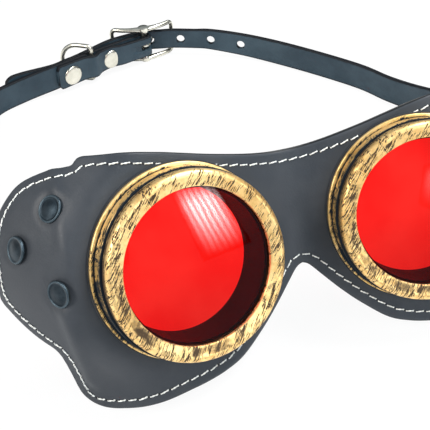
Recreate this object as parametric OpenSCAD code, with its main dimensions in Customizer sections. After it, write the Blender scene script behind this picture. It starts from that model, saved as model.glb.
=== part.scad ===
// Steampunk goggles: two brass screw-ring eye cups on a leather mask, with a
// two-piece leather strap, a centre-bar buckle and a D-ring.
// The goggles stand on the lower edge of the mask, leaning back, and the closed
// strap lies behind them. X runs along the mask, Y to the back, Z up.

/* [Eye cups] */
// Distance between the lens centres, measured at the openings
lens_spacing = 73.6; // [71:0.2:78]
// Angle by which each cup is turned in towards the nose
toe_in = 10.7; // [8:0.1:13]
// Diameter of the opening in each screw ring
opening_d = 46; // [44:0.5:47]
// Width of the lip of the screw ring that holds the lens
lens_lip = 1.95; // [1.5:0.05:2.4]
// Thickness of that lip
lip_t = 1.2; // [0.8:0.1:1.6]
// Wall of the threaded part of the screw ring
thread_wall = 1; // [0.8:0.05:1.4]
// How far the head of the screw ring stands out past its thread
head_step = 1.95; // [1.6:0.05:2.6]
// Depth of the head, from the opening to its rear edge
head_depth = 3.5; // [3.2:0.1:4.5]
// Height of the rounded shoulder above the opening
shoulder_h = 0.8; // [0.5:0.1:1.2]
// Length of the thread behind the head
thread_l = 4.5; // [4:0.1:6]
// Rise of the thread in one turn
thread_pitch = 1.6; // [1:0.1:1.6]
// Wall of the cup outside the thread
cup_wall = 2.4; // [2:0.1:3]
// Length of the cup, from the gap under the ring to the leather side
cup_l = 6.6; // [6.2:0.1:9]
// Depth of the hollow in the band round the cup
band_hollow = 0.3; // [0.1:0.05:0.5]
// How far the rear flange stands out past the cup
flange_step = 1.15; // [0.8:0.05:1.6]
// Thickness of the rear flange
flange_t = 1.3; // [1:0.1:1.8]
// Length of the spigot that goes through the leather
spigot_l = 6; // [5.6:0.1:8]
// How far the inside of the cup is wider than the bore in the seal, per side
bore_step = 0.6; // [0.4:0.1:0.9]

/* [Lenses and rings] */
// Thickness of the glass
lens_t = 1.5; // [1.2:0.1:2]
// Thickness of the seal behind the glass
seal_t = 0.6; // [0.4:0.1:0.9]
// How far the black ring under the cup shows past the flange
washer_step = 0.4; // [0.2:0.1:0.8]
// Thickness of the black ring
washer_t = 0.7; // [0.5:0.1:1.2]
// Width of the clamp ring behind the lining
clamp_w = 3.2; // [2.6:0.1:3.6]
// Thickness of the clamp ring
clamp_t = 2; // [1.5:0.1:2.3]
// Width of the key notches in the clamp ring
notch_w = 3; // [2:0.5:4]

/* [Mask] */
// Thickness of the outer leather
leather_t = 1.6; // [1.2:0.1:2]
// Thickness of the lining
lining_t = 1.2; // [0.8:0.1:1.6]
// Radius of the bend of the mask over the nose
nose_r = 30; // [26:1:36]
// Radius at which the leather bends back beside each cup
brim_r = 10; // [8:0.5:14]
// Angle of that bend on the wing side
brim_angle = 50; // [40:1:54]
// Radius of the wing past the bend
wing_r = 80; // [70:1:100]
// Angle by which the mask leans back
lean = 30; // [26:0.5:34]

/* [Rivets] */
// Diameter of the rivet caps on the wings
cap_d = 8.2; // [7:0.2:9]
// Height of those caps
cap_h = 1.7; // [1.3:0.1:2.2]
// Diameter of the rivet posts
post_d = 3.2; // [2.6:0.2:3.8]
// Diameter of the rivet caps on the strap
strap_cap_d = 9.6; // [8:0.2:10.4]
// Height of the strap rivet caps
strap_cap_h = 1.6; // [1.2:0.1:2]

/* [Strap] */
// Width of the strap
strap_w = 12.7; // [11.5:0.1:13.5]
// Thickness of the strap
strap_t = 2.2; // [1.8:0.1:2.4]
// Width of the tail of the strap
tail_w = 10.5; // [9.5:0.1:11.5]
// Width of the other strap where it folds round the bar
fold_w = 10.3; // [9.5:0.1:11.5]
// Half width of the fan-shaped end that is riveted to the wing
fan_w = 17.5; // [15:0.5:18.5]
// Diameter of the adjusting holes
hole_d = 4.2; // [3.8:0.1:4.6]
// Distance from hole to hole
hole_pitch = 16; // [14:0.5:17]

/* [Buckle and D-ring] */
// Inner height of the buckle frame
buckle_h = 14; // [13.4:0.1:16]
// Thickness of the frame
wire_d = 2.2; // [2:0.1:2.4]
// Diameter of the centre bar
bar_d = 2.6; // [2.4:0.1:2.8]
// Radius of the bow of the frame, seen from above
bow_r = 28; // [24:0.5:34]
// Half of the angle of that bow
bow_angle = 29; // [26:0.5:31]
// Thickness of the prong
prong_d = 1.9; // [1.6:0.1:2.1]
// Inner height of the D-ring
ring_h = 15.5; // [14.5:0.1:17]
// Length of the straight legs of the D-ring
ring_leg = 7; // [5:0.1:9]
// Thickness of the D-ring
ring_wire = 2.2; // [1.8:0.1:2.3]

/* [Hidden] */
$fn = 96;
// Clearances: threads, seats of loose discs, layers of leather, pivots, posts
thread_gap = 0.1;
seat_gap = 0.15;
layer_gap = 0.1;
fan_gap = 0.45;
pivot_gap = 0.08;
post_gap = 0.15;
// Play of the strap inside the buckle's end bars
strap_play = 0.7;

// Radii of the cup stack, each from the one inside it
open_r = opening_d / 2;
ring_bore = open_r + lens_lip;
thread_r = ring_bore + thread_wall;
head_r = thread_r + head_step;
cup_bore = open_r - bore_step;
cup_thread = thread_r + thread_gap;
cup_r = cup_thread + cup_wall;
flange_r = cup_r + flange_step;
washer_r = flange_r + washer_step;
collar_r = ring_bore - 0.35;
spigot_r = collar_r - 0.4;
lens_r = ring_bore - seat_gap;
clamp_r = spigot_r + thread_gap + clamp_w;

// Depths of the cup stack behind the opening
seal_top = lip_t + lens_t;
collar_top = seal_top + seal_t;
cup_top = head_depth + 0.4;
thread_end = head_depth + thread_l;
cup_floor = thread_end + 0.5;
cup_back = cup_top + cup_l;
seat = cup_back + washer_t;
lining_front = leather_t + layer_gap;
lining_back = lining_front + lining_t;
strap_front = lining_back + fan_gap;
strap_back = strap_front + strap_t;
spigot_end = cup_back + spigot_l;

// Places in the mask's own frame: X across, Y back, Z up the mask
cup_x = lens_spacing / 2;
flat_r = washer_r + 0.6;
bend_l = brim_r * brim_angle * PI / 180;
nose_y = (seat - nose_r + cup_x * sin(toe_in)) / cos(toe_in);
seat_p = [cup_x + seat * sin(toe_in), seat * cos(toe_in)];
nose_s = (nose_r * sin(toe_in) - seat_p[0]) * cos(toe_in)
    - (nose_y + nose_r * cos(toe_in) - seat_p[1]) * sin(toe_in);
middle_s = nose_s - nose_r * toe_in * PI / 180;

// Outline of the laid-out mask: height of the top edge, depth of the lower edge
// Over the nose, by the share of the way from the middle to the cup
nose_part = [
    [0, 25.5, 11.3], [0.055, 25.5, 12.4], [0.155, 25.8, 16.9], [0.29, 26.5, 22.8],
    [0.443, 27.6, 28.6], [0.646, 29.3, 35], [0.823, 31, 37.8]];
// Round the cup, by the share of the ring's radius
cup_part = [
    [0, 32.7, 39.2], [0.267, 34.5, 40.1], [0.557, 36.4, 41.7], [0.7, 37.6, 42.6],
    [0.8, 38.6, 43.2], [0.86, 38.5, 43.6], [0.89, 37.8, 43.8], [0.927, 37, 44.1],
    [1, 37.3, 44.7]];
// On the wing, by the distance past the ring
wing_part = [
    [3.5, 37.9, 45.4], [6.5, 38.3, 45.3], [8.8, 38.4, 44.2], [10.4, 38.3, 42.4],
    [11.4, 38.3, 39.1], [12.2, 38.2, 33.5], [12.9, 38.1, 28.2], [13.8, 38, 24],
    [15.6, 37.7, 21], [18.5, 36.7, 18.8], [21.5, 34.8, 16.3], [25, 31.8, 13],
    [28, 28.4, 10.1], [30.5, 24.1, 7.5], [32, 19.2, 5.8], [33, 12.5, 4.2],
    [33.7, 5, 2.5], [34, 1.8, 0.9]];
edge_grow = washer_r - 30;
stations = concat(
    [for (p = nose_part) [middle_s * (1 - p[0]), p[1] + edge_grow, -p[2] - edge_grow]],
    [for (p = cup_part) [washer_r * p[0], p[1] + edge_grow, -p[2] - edge_grow]],
    [for (p = wing_part) [washer_r + p[0], p[1] + edge_grow, -p[2] - edge_grow]]);

// Wing rivets on the laid-out mask
wing_rivets = [
    [washer_r + 6.5, washer_r - 5.1], [washer_r + 21.3, 14.7], [washer_r + 8.5, -0.1]];

// Smooth step from 0 to 1
function ease(v) = let (c = min(1, max(0, v))) c * c * (3 - 2 * c);

// Side view of the brim: distance out and drop behind the seat
function brim(q) =
    q <= flat_r ? [q, 0]
    : q <= flat_r + bend_l
    ? let (a = (q - flat_r) / brim_r * 180 / PI)
        [flat_r + brim_r * sin(a), brim_r * (1 - cos(a))]
    : let (a = brim_angle + (q - flat_r - bend_l) / wing_r * 180 / PI)
        [flat_r + brim_r * sin(brim_angle) + wing_r * (sin(a) - sin(brim_angle)),
         brim_r * (1 - cos(brim_angle)) + wing_r * (cos(brim_angle) - cos(a))];

// Front face of the leather: s runs from the cup's centre out to the wing
function leaf(s, z) = s < nose_s
    ? let (a = toe_in - (nose_s - s) / nose_r * 180 / PI)
        [nose_r * sin(a), nose_y + nose_r * cos(a), z]
    : let (r = max(0.001, norm([s, z])),
           share = ease((88 - abs(atan2(z, s) - 6)) / 46),
           b = brim(r),
           k = (r + share * (b[0] - r)) / r,
           deep = seat + share * b[1])
        [cup_x + s * k * cos(toe_in) + deep * sin(toe_in),
         -s * k * sin(toe_in) + deep * cos(toe_in), z * k];

// Unit vector out of the back of the leather
function behind(s, z) = let (
    u = leaf(s + 0.05, z) - leaf(s - 0.05, z),
    v = leaf(s, z + 0.05) - leaf(s, z - 0.05),
    n = cross(v, u)) n / norm(n);

// Point of a layer at depth d behind the leather's front face
function skin(s, z, d) = leaf(s, z) + d * behind(s, z);

// One station of a layer, up its front face and down its back face
function layer_ring(s, low, high, front, back, rows) = concat(
    [for (j = [0 : rows - 1]) skin(s, low + (high - low) * j / (rows - 1), front)],
    [for (j = [rows - 1 : -1 : 0]) skin(s, low + (high - low) * j / (rows - 1), back)]);

function mirrored(p) = [-p[0], p[1], p[2]];
function last(v) = v[len(v) - 1];

// Shape of the buckle frame from above
corner_r = 2.5;
rail_z = (buckle_h + wire_d) / 2;
end_x = bow_r * sin(bow_angle) + corner_r * cos(bow_angle);
bow_depth = bow_r * (1 - cos(bow_angle)) + corner_r * sin(bow_angle);

// Height at which the lower edge of the mask stands on the ground
lowest = min([for (p = stations, d = [0, lining_back])
    let (q = skin(p[0], p[2], d)) q[2] * cos(lean) - q[1] * sin(lean)]);
stand_z = -lowest;
// The origin lies midway between the front of the rings and the prong
front_y = shoulder_h * cos(toe_in) * cos(lean)
    + (head_r - 1.6) * sqrt(1 - pow(cos(toe_in) * cos(lean), 2));
bar_p = [-4.6, 202.4];
prong_out = bow_depth + wire_d / 2 + prong_d / 2 + 0.02;
stand_y = -(bar_p[1] + prong_out + prong_d / 2 - front_y) / 2;

function to_row(p) = [p[0],
    p[1] * cos(lean) + p[2] * sin(lean) + stand_y,
    p[2] * cos(lean) - p[1] * sin(lean) + stand_z];

module in_mask() {
    translate([0, stand_y, stand_z]) rotate([-lean, 0, 0]) children();
}

module on_cup(side) {
    in_mask() mirror([side == "left" ? 1 : 0, 0, 0])
        translate([cup_x, 0, 0]) rotate([0, 0, -toe_in]) rotate([90, 0, 0]) children();
}

function arc(c, r, from, to, n) =
    [for (i = [0 : n]) let (a = from + (to - from) * i / n) c + r * [cos(a), sin(a)]];

// Solid lofted through closed rings that each run up one face and down the other
module band(rings) {
    k = len(rings[0]);
    m = k / 2;
    n = len(rings);
    walls = [for (i = [0 : n - 2], j = [0 : k - 1])
        let (a = i * k + j, b = i * k + (j + 1) % k)
        each j < m ? [[a, b, a + k], [b, b + k, a + k]]
            : [[a, b, b + k], [a, b + k, a + k]]];
    start = [for (j = [0 : m - 2])
        each [[j, k - 1 - j, j + 1], [j + 1, k - 1 - j, k - 2 - j]]];
    stop = [for (f = start) [f[0], f[2], f[1]] + (n - 1) * k * [1, 1, 1]];
    polyhedron([for (r = rings) each r], concat(walls, start, stop), convexity = 6);
}

// Screw ring and its lens
module bezel(side) {
    crown = head_r - 1.6;
    face = open_r + 2.3;
    color("goldenrod") on_cup(side) rotate_extrude() polygon(concat(
        [[ring_bore, -thread_end], [thread_r, -thread_end], [thread_r, -head_depth],
         [head_r, -head_depth]],
        arc([crown, shoulder_h - 1.6], 1.6, 0, 90, 6),
        arc([crown, shoulder_h - 0.5], 0.5, 90, 150, 2),
        [[face + 0.5, shoulder_h - 0.6], [face, shoulder_h - 0.3], [open_r, 0],
         [open_r, -lip_t], [ring_bore, -lip_t]]));
}

module lens(side) {
    color("red") on_cup(side) translate([0, 0, -seal_top]) cylinder(r = lens_r, h = lens_t);
}

module lens_seal(side) {
    color("black") on_cup(side) translate([0, 0, -collar_top]) difference() {
        cylinder(r = collar_r - 0.1, h = seal_t);
        translate([0, 0, -1]) cylinder(r = open_r - 0.1, h = seal_t + 2);
    }
}

// Cup with its front rim, hollow band, rear flange, collar and spigot
module cup(side) {
    rim = 0.7;
    band_top = cup_top + rim;
    band_end = cup_back - flange_t - 0.6;
    mid = (band_top + band_end) / 2;
    color("darkgoldenrod") on_cup(side) rotate_extrude() polygon(concat(
        [[cup_bore, -spigot_end], [spigot_r - 0.3, -spigot_end],
         [spigot_r, -spigot_end + 0.3], [spigot_r, -cup_back],
         [flange_r - 0.2, -cup_back], [flange_r, -cup_back + 0.2]],
        arc([flange_r - 0.4, -cup_back + flange_t - 0.4], 0.4, 0, 90, 3),
        [[cup_r - 0.5, -cup_back + flange_t], [cup_r - 0.5, -band_end - 0.25],
         [cup_r - 0.05, -band_end]],
        [[cup_r - band_hollow * 0.8, -mid - (band_end - mid) * 0.5],
         [cup_r - band_hollow, -mid],
         [cup_r - band_hollow * 0.8, -mid + (mid - band_top) * 0.5]],
        [[cup_r - 0.05, -band_top], [cup_r + 0.1, -band_top + 0.1],
         [cup_r + 0.1, -cup_top - 0.15], [cup_r - 0.05, -cup_top],
         [cup_thread, -cup_top], [cup_thread, -cup_floor],
         [collar_r, -cup_floor], [collar_r, -collar_top], [cup_bore, -collar_top]]));
}

module base_washer(side) {
    color("black") on_cup(side) translate([0, 0, -seat]) difference() {
        cylinder(r = washer_r, h = washer_t);
        translate([0, 0, -1]) cylinder(r = spigot_r + 0.1, h = washer_t + 2);
    }
}

// Ring that clamps the cup from behind, with two notches for a key
module clamp_ring(side) {
    color("darkgoldenrod") on_cup(side)
        translate([0, 0, -seat - lining_back - layer_gap - clamp_t])
        difference() {
            cylinder(r = clamp_r, h = clamp_t);
            translate([0, 0, -1]) cylinder(r = spigot_r + thread_gap, h = clamp_t + 2);
            for (a = [0, 180]) rotate([0, 0, a])
                translate([clamp_r - 1.2, -notch_w / 2, -1]) cube([3, notch_w, clamp_t + 2]);
        }
}

// Turns the children's Z to the back at a point of the laid-out mask
module at_skin(p, side) {
    n = behind(p[0], p[1]);
    in_mask() mirror([side == "left" ? 1 : 0, 0, 0]) translate(leaf(p[0], p[1]))
        rotate([0, acos(n[2]), atan2(n[1], n[0])]) children();
}

module mask_holes(front, back) {
    for (side = ["left", "right"]) {
        on_cup(side) translate([0, 0, -seat - 8]) cylinder(r = spigot_r + 0.3, h = 12);
        for (p = wing_rivets) at_skin(p, side)
            translate([0, 0, front - 2]) cylinder(d = post_d + 2 * post_gap, h = back - front + 4);
    }
}

module mask_layer(front, back, rows) {
    right = [for (p = stations) layer_ring(p[0], p[2], p[1], front, back, rows)];
    left = [for (i = [len(right) - 1 : -1 : 1]) [for (q = right[i]) mirrored(q)]];
    band(concat(left, right));
}

// Outer leather, pressed in under the rivet caps
module mask_leather() {
    color("dimgray") difference() {
        in_mask() mask_layer(0, leather_t, 9);
        mask_holes(0, leather_t);
        for (side = ["left", "right"], p = wing_rivets) at_skin(p, side)
            translate([0, 0, 0.4 - 4]) cylinder(d = cap_d + 0.4, h = 4);
    }
}

module mask_lining() {
    color("gray") difference() {
        in_mask() mask_layer(lining_front, lining_back, 9);
        mask_holes(lining_front, lining_back);
    }
}

// Low domed cap standing on the XY plane
module cap(d, h) {
    rim = h * 0.3;
    dome_r = (pow(d / 2, 2) + pow(h - rim, 2)) / (2 * (h - rim));
    top = asin(d / 2 / dome_r);
    rotate_extrude() polygon(concat([[0, 0], [d / 2 - 0.15, 0], [d / 2, 0.15]],
        [for (i = [0 : 5]) let (a = top * (1 - i / 6))
            [dome_r * sin(a), h - dome_r + dome_r * cos(a)]],
        [[0, h]]));
}

module wing_rivet_caps(side) {
    color("darkslategray") for (p = wing_rivets) at_skin(p, side)
        translate([0, 0, 0.4]) mirror([0, 0, 1]) cap(cap_d, cap_h);
}

module wing_rivet_posts(side) {
    color("slategray") for (p = wing_rivets) at_skin(p, side) {
        translate([0, 0, 0.4]) cylinder(d = post_d, h = strap_back - 0.5);
        translate([0, 0, strap_back - 0.2]) cap(cap_d, 1.2);
    }
}

// Fan-shaped strap end on the wing: distance past the ring, share of its half width
fan = [[1.4, 0.62], [2.2, 0.8], [4, 0.94], [6.5, 1], [8.5, 0.98], [11, 0.86],
    [14, 0.7], [17, 0.58], [20, 0.49]];
neck = [24, 27, 30.5];
fan_edge = strap_w / 2;
function fan_half(k) = max(fan_edge, k * fan_w);
function axis_z(s) = 8.6 + (s - 31) * 0.22;
function strap_ring(s, half) =
    layer_ring(s, axis_z(s) - half, axis_z(s) + half, strap_front, strap_back, 5);
wing_rings = concat(
    [for (p = fan) strap_ring(washer_r + p[0], fan_half(p[1]))],
    [for (d = neck) strap_ring(washer_r + d, fan_edge)]);
function centre_of(ring) = (ring[2] + ring[7]) / 2;

// Route of the closed strap behind the mask, seen from the right; Y from the mask
// and height of the lower edge off the ground
side_route = [[98.8, 53.5, 25], [102.8, 83.2, 12.2], [100.8, 109, 2.8]];
right_route = [[95.2, 124.8, 0.2], [87, 140.8, 0.2], [68, 165.5, 0.25], [48.3, 185.5, 0.9]];
left_route = [[-96.8, 138, 0.2], [-92.4, 158, 0.15], [-84, 173.4, 0.15],
    [-70.2, 180.8, 0.8]];
// Heights of the buckle, and of the strap where the buckle holds it
buckle_z = wire_d + buckle_h / 2 + 0.5;
hook_z = buckle_z - (buckle_h - strap_w) / 2 + 0.15;

// The buckle-side strap: straight past the rivets, then round the centre bar
fold_r = bar_d / 2 + seat_gap + strap_t / 2;
fold_a = 20;
main_line = [[-49, -18], [-41.9, -14.8], [-34.6, -11.4], [-30.6, -9.55], [-26.6, -7.75],
    [-20.4, -5], [-15, -3.05], [-10, -1.05], [-5, 0.7]];
round_bar = arc([0, 0], fold_r, 90 + fold_a, fold_a - 90, 6);
// Distance of the folded layer inside the main one along the way back
close_lay = strap_t + seat_gap;
ring_lay = 2 * (strap_t / 2 + layer_gap + ring_wire / 2) + 0.1;
fold_back = [[7, 2 * fold_r - 0.7], [6, (2 * fold_r + close_lay) / 2 + 0.1],
    [5, close_lay], [4, close_lay + 0.4], [3, ring_lay], [2, close_lay + 0.4],
    [1, close_lay], [0, close_lay]];

// Unit vector along a plan route at point i, and the one to its outer side
function heading(route, i) = let (
    d = route[min(len(route) - 1, i + 1)] - route[max(0, i - 1)],
    f = [d[0], d[1]]) f / norm(f);
function outer(h) = [-h[1], h[0]];
function shifted(route, i, d) = route[i] + d * outer(heading(route, i));

folded = concat(main_line, round_bar,
    [for (p = fold_back) shifted(main_line, p[0], -p[1])]);

// The hole-side strap past the buckle: inside the end bars and over the fold
bar_in = bow_depth - wire_d / 2 - strap_play - strap_t / 2;
over_fold = fold_r + strap_t + 0.25;
tail_lay = strap_t + 0.6;
prong_hole = [4.6, over_fold - 0.8];
tail_line = concat(
    [[34.8, -6.4], [26, -2.2], [end_x, bar_in], [10, (bar_in + prong_hole[1]) / 2],
     prong_hole, [1.1, over_fold - 0.02], [-1.1, over_fold - 0.02],
     [-8, over_fold - 1.3], [-end_x, bar_in], [-22, -0.9]],
    [for (i = [2, 1, 0]) shifted(main_line, i, tail_lay)],
    [[-64, -21.2] + (tail_lay + 0.5) * [-0.25, 0.97],
     [-71.8, -24] + (tail_lay + 0.5) * [-0.42, 0.91]]);

// Smooth curve through points, n steps from each to the next
function spline(p, n) = concat([for (i = [0 : len(p) - 2], j = [0 : n - 1]) let (
    a = p[max(0, i - 1)], b = p[i], c = p[i + 1], d = p[min(len(p) - 1, i + 2)],
    t = j / n)
    0.5 * (2 * b + (c - a) * t + (2 * a - 5 * b + 4 * c - d) * t * t
        + (3 * b - a - 3 * c + d) * t * t * t)], [last(p)]);

function hooked(p) = [p[0] + bar_p[0], p[1] + bar_p[1] + stand_y, hook_z];
function rested(p) = [p[0], p[1] + stand_y, p[2] + strap_w / 2];

wing_end = to_row(centre_of(last(wing_rings)));
wing_before = to_row(centre_of(wing_rings[len(wing_rings) - 2]));

// Routes in the object's frame, from the wing to the free end
function leaving(sign) = [[sign * wing_before[0], wing_before[1], wing_before[2]],
    [sign * wing_end[0], wing_end[1], wing_end[2]]];
function drop_first(v, n) = [for (i = [n : len(v) - 1]) v[i]];
right_path = drop_first(spline(concat(leaving(1),
    [for (p = side_route) rested(p)], [for (p = right_route) rested(p)],
    [for (p = tail_line) hooked(p)]), 3), 4);
left_path = concat(drop_first(spline(concat(leaving(-1),
    [for (p = side_route) rested(mirrored(p))], [for (p = left_route) rested(p)],
    [hooked(main_line[0])]), 3), 4),
    [for (p = drop_first(folded, 1)) hooked(p)]);

// Cross-section of the free strap; up is the edge direction at the wing
function free_ring(path, i, width, up) = let (
    d = path[min(len(path) - 1, i + 1)] - path[max(0, i - 1)],
    t = d / norm(d),
    k = ease(i / 14),
    g0 = up * (1 - k) + [0, 0, 1] * k,
    g = g0 / norm(g0),
    c = cross(t, g),
    n = c / norm(c),
    half = width / 2 / norm(c)) concat(
        [for (j = [-2 : 2]) path[i] + g * half * j / 2 + n * strap_t / 2],
        [for (j = [2 : -1 : -2]) path[i] + g * half * j / 2 - n * strap_t / 2]);

// Direction of the strap's edge where it leaves the wing
wing_up = let (r = last(wing_rings), d = to_row(r[4]) - to_row(r[0])) d / norm(d);

function tail_width(i) = let (n = len(right_path), from = n - 3 * (len(tail_line) - 1))
    strap_w + (tail_w - strap_w) * ease((i - from + 6) / 9);
function tip_width(i) = let (n = len(right_path))
    i == n - 1 ? tail_w * 0.5 : i == n - 2 ? tail_w * 0.86 : tail_width(i);

right_rings = concat(
    [for (r = wing_rings) [for (q = r) to_row(q)]],
    [for (i = [0 : len(right_path) - 1]) free_ring(right_path, i, tip_width(i), wing_up)]);

function left_width(p) =
    strap_w - (strap_w - fold_w) * max(0, 1 - norm([p[0], p[1] - stand_y] - bar_p) / 50);

// The left strap's rings, worked out on the right and then mirrored
left_rings = concat(
    [for (r = wing_rings) [for (q = r) to_row(q)]],
    [for (i = [0 : len(left_path) - 1])
        free_ring([for (p = left_path) mirrored(p)], i, left_width(left_path[i]), wing_up)]);

// Places of the holes along the right strap, measured from the prong's hole
hole_at = len(right_path) - 1 - 3 * (len(tail_line) - 1) + 12;
function walk(i, left, step) =
    let (j = i + step)
    j < 0 || j >= len(right_path) ? i
    : let (d = norm(right_path[j] - right_path[i]))
        d >= left ? i + step * left / d : walk(j, left - d, step);
function on_path(path, t) = let (i = floor(t), f = t - i)
    path[i] + f * (path[min(len(path) - 1, i + 1)] - path[i]);
holes = [for (k = [-3 : 2]) walk(hole_at, abs(k) * hole_pitch, k < 0 ? -1 : 1)];

module across(p, h) {
    translate(p) rotate([0, 0, atan2(h[1], h[0])]) rotate([90, 0, 0]) children();
}

module wing_seats(side) {
    for (p = wing_rivets) at_skin(p, side) {
        translate([0, 0, strap_front - 2]) cylinder(d = post_d + 2 * post_gap, h = strap_t + 4);
        translate([0, 0, strap_back - 0.3]) cylinder(d = cap_d + 0.4, h = 4);
    }
}

// Strap with the adjusting holes
module strap_right() {
    color("slategray") difference() {
        band(right_rings);
        wing_seats("right");
        for (t = holes) across(on_path(right_path, t), heading(right_path, round(t)))
            cylinder(d = hole_d, h = 6, center = true);
    }
}

// Rivets of the fold, halfway through its two layers
strap_rivets = [1, 5];
rivet_drop = 0.8;
function rivet_p(i) =
    hooked(shifted(main_line, i, -close_lay / 2)) - [0, 0, rivet_drop];
module at_rivet(i) {
    across(rivet_p(i), heading(main_line, i)) children();
}
stack = close_lay + strap_t;

// Strap that folds round the centre bar, with a slot for the prong
module strap_left() {
    color("slategray") difference() {
        mirror([1, 0, 0]) band(left_rings);
        wing_seats("left");
        for (i = strap_rivets) at_rivet(i) {
            cylinder(d = post_d + 2 * post_gap, h = 12, center = true);
            translate([0, 0, stack / 2 - 0.3]) cylinder(d = strap_cap_d + 0.4, h = 3);
            translate([0, 0, -stack / 2 + 0.3 - 3]) cylinder(d = 8.4, h = 3);
        }
        at_prong() translate([-6, -5, -prong_d / 2 - 0.6]) cube([12, 10, prong_d + 1.2]);
    }
}

module strap_rivet_caps() {
    color("silver") for (i = strap_rivets) at_rivet(i)
        translate([0, 0, stack / 2 - 0.25]) cap(strap_cap_d, strap_cap_h);
}

module strap_rivet_posts() {
    color("silver") for (i = strap_rivets) at_rivet(i) {
        translate([0, 0, -stack / 2 + 0.2]) cylinder(d = post_d, h = stack - 0.45);
        translate([0, 0, -stack / 2 + 0.25]) mirror([0, 0, 1]) cap(8, 0.6);
    }
}

module at_bar() {
    translate([bar_p[0], bar_p[1] + stand_y, buckle_z]) children();
}

// The prong lies level with the holes, a little below the middle of the frame
module at_prong() {
    translate([0, 0, hook_z - buckle_z]) at_bar() children();
}

// Quarter of a wire ring of middle radius r, turning from +X up to +Z
module elbow(r, d, angle) {
    rotate([90, 0, 0]) translate([0, r, 0]) rotate([0, 0, -90])
        rotate_extrude(angle = angle) translate([r, 0]) circle(d = d);
}

// Middle line of the bowed frame: up one end bar, along a rail, down the other
function on_bow(a, z) = [bow_r * sin(a), bow_r * (1 - cos(a)), z];
function corner(way, up) = [for (i = [0 : 4]) let (a = 22.5 * (way * up > 0 ? i : 4 - i),
    q = corner_r * (way * up > 0 ? cos(a) : sin(90 - a)),
    v = corner_r * sin(a))
    on_bow(way * bow_angle, up * (rail_z - corner_r + v))
        + way * q * [cos(bow_angle), way * sin(bow_angle), 0]];
frame_line = concat(corner(1, 1),
    [for (a = [bow_angle - 6 : -6 : -bow_angle + 4]) on_bow(a, rail_z)], corner(-1, 1),
    corner(-1, -1), [for (a = [-bow_angle + 6 : 6 : bow_angle - 4]) on_bow(a, -rail_z)],
    corner(1, -1));

// Closed wire of n sides through a ring of points
module wire_loop(path, d, n) {
    k = len(path);
    rings = [for (i = [0 : k - 1]) let (
        t = path[(i + 1) % k] - path[(i + k - 1) % k],
        u = cross(t, [0, 1, 0]) / norm(cross(t, [0, 1, 0])),
        w = cross(u, t) / norm(cross(u, t)))
        [for (j = [0 : n - 1]) path[i] + d / 2 * (u * cos(360 * j / n) + w * sin(360 * j / n))]];
    polyhedron([for (r = rings) each r], [for (i = [0 : k - 1], j = [0 : n - 1]) let (
        a = i * n + j, b = i * n + (j + 1) % n, c = ((i + 1) % k) * n + j,
        e = ((i + 1) % k) * n + (j + 1) % n) each [[a, b, c], [b, e, c]]], convexity = 8);
}

// Bowed wire frame with the centre bar riveted into both rails
module buckle_frame() {
    color("silver") at_bar() {
        wire_loop(frame_line, wire_d, 10);
        for (up = [0, 1]) mirror([0, 0, up])
            translate([0, 0, rail_z - wire_d / 2]) cylinder(d = 3.8, h = wire_d + 0.4);
        cylinder(d = bar_d, h = 2 * rail_z, center = true);
    }
}

// Open wire of n sides through points in plan, with a diameter at each point
module plan_wire(path, d, n) {
    k = len(path);
    rings = [for (i = [0 : k - 1]) let (
        t = path[min(k - 1, i + 1)] - path[max(0, i - 1)],
        u = [-t[1], t[0]] / norm(t))
        [for (j = [0 : n - 1]) let (a = 360 * j / n)
            [path[i][0] + u[0] * d[i] / 2 * cos(a), path[i][1] + u[1] * d[i] / 2 * cos(a),
             d[i] / 2 * sin(a)]]];
    walls = [for (i = [0 : k - 2], j = [0 : n - 1]) let (a = i * n + j, b = i * n + (j + 1) % n)
        each [[a, a + n, b], [b, a + n, b + n]]];
    start = [for (j = [1 : n - 2]) [0, j, j + 1]];
    stop = [for (f = start) [f[0], f[2], f[1]] + (k - 1) * n * [1, 1, 1]];
    polyhedron([for (r = rings) each r], concat(walls, start, stop), convexity = 4);
}

// Prong: a ring on the centre bar, a rise through the hole and a straight tip
prong_rise = 62;
prong_bend = 2;
module buckle_prong() {
    eye = bar_d / 2 + pivot_gap;
    root = [eye + 0.6, -0.3];
    rise = (prong_out - prong_bend * (1 - cos(prong_rise)) - root[1]) / sin(prong_rise);
    knee = root + rise * [cos(prong_rise), sin(prong_rise)];
    flat_x = knee[0] + prong_bend * sin(prong_rise);
    path = concat([root],
        arc([flat_x, prong_out - prong_bend], prong_bend, 90 + prong_rise, 90, 5),
        [[end_x + 0.6, prong_out], [end_x + 1.6, prong_out], [end_x + 2, prong_out]]);
    color("gainsboro") at_prong() difference() {
        union() {
            cylinder(r = eye + 1, h = prong_d, center = true);
            plan_wire(path, [for (i = [0 : 9]) prong_d * (i < 8 ? 1 : i == 8 ? 0.8 : 0.45)], 12);
        }
        cylinder(r = eye, h = prong_d + 2, center = true);
    }
}

// D-ring at rest, swung against the tail
ring_swing = 56;
ring_corner = 2;
ring_mid = (ring_h + ring_wire) / 2;
ring_p = shifted(main_line, 3, -ring_lay / 2);
ring_z = ring_h / 2 + ring_wire + 0.1;
module d_ring() {
    h = heading(main_line, 3);
    color("silver") translate([bar_p[0] + ring_p[0], bar_p[1] + ring_p[1] + stand_y, ring_z])
        rotate([0, 0, atan2(h[1], h[0]) + 180 - ring_swing]) {
            cylinder(d = ring_wire, h = 2 * (ring_mid - ring_corner), center = true);
            for (up = [0, 1]) mirror([0, 0, up]) {
                translate([ring_corner, 0, -ring_mid]) mirror([1, 0, 0])
                    elbow(ring_corner, ring_wire, 90);
                translate([ring_corner, 0, -ring_mid]) rotate([0, 90, 0])
                    cylinder(d = ring_wire, h = ring_leg - ring_corner);
            }
            translate([ring_leg, 0, 0]) rotate([90, 0, 0]) rotate([0, 0, -90])
                rotate_extrude(angle = 180) translate([ring_mid, 0]) circle(d = ring_wire);
        }
}

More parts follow.
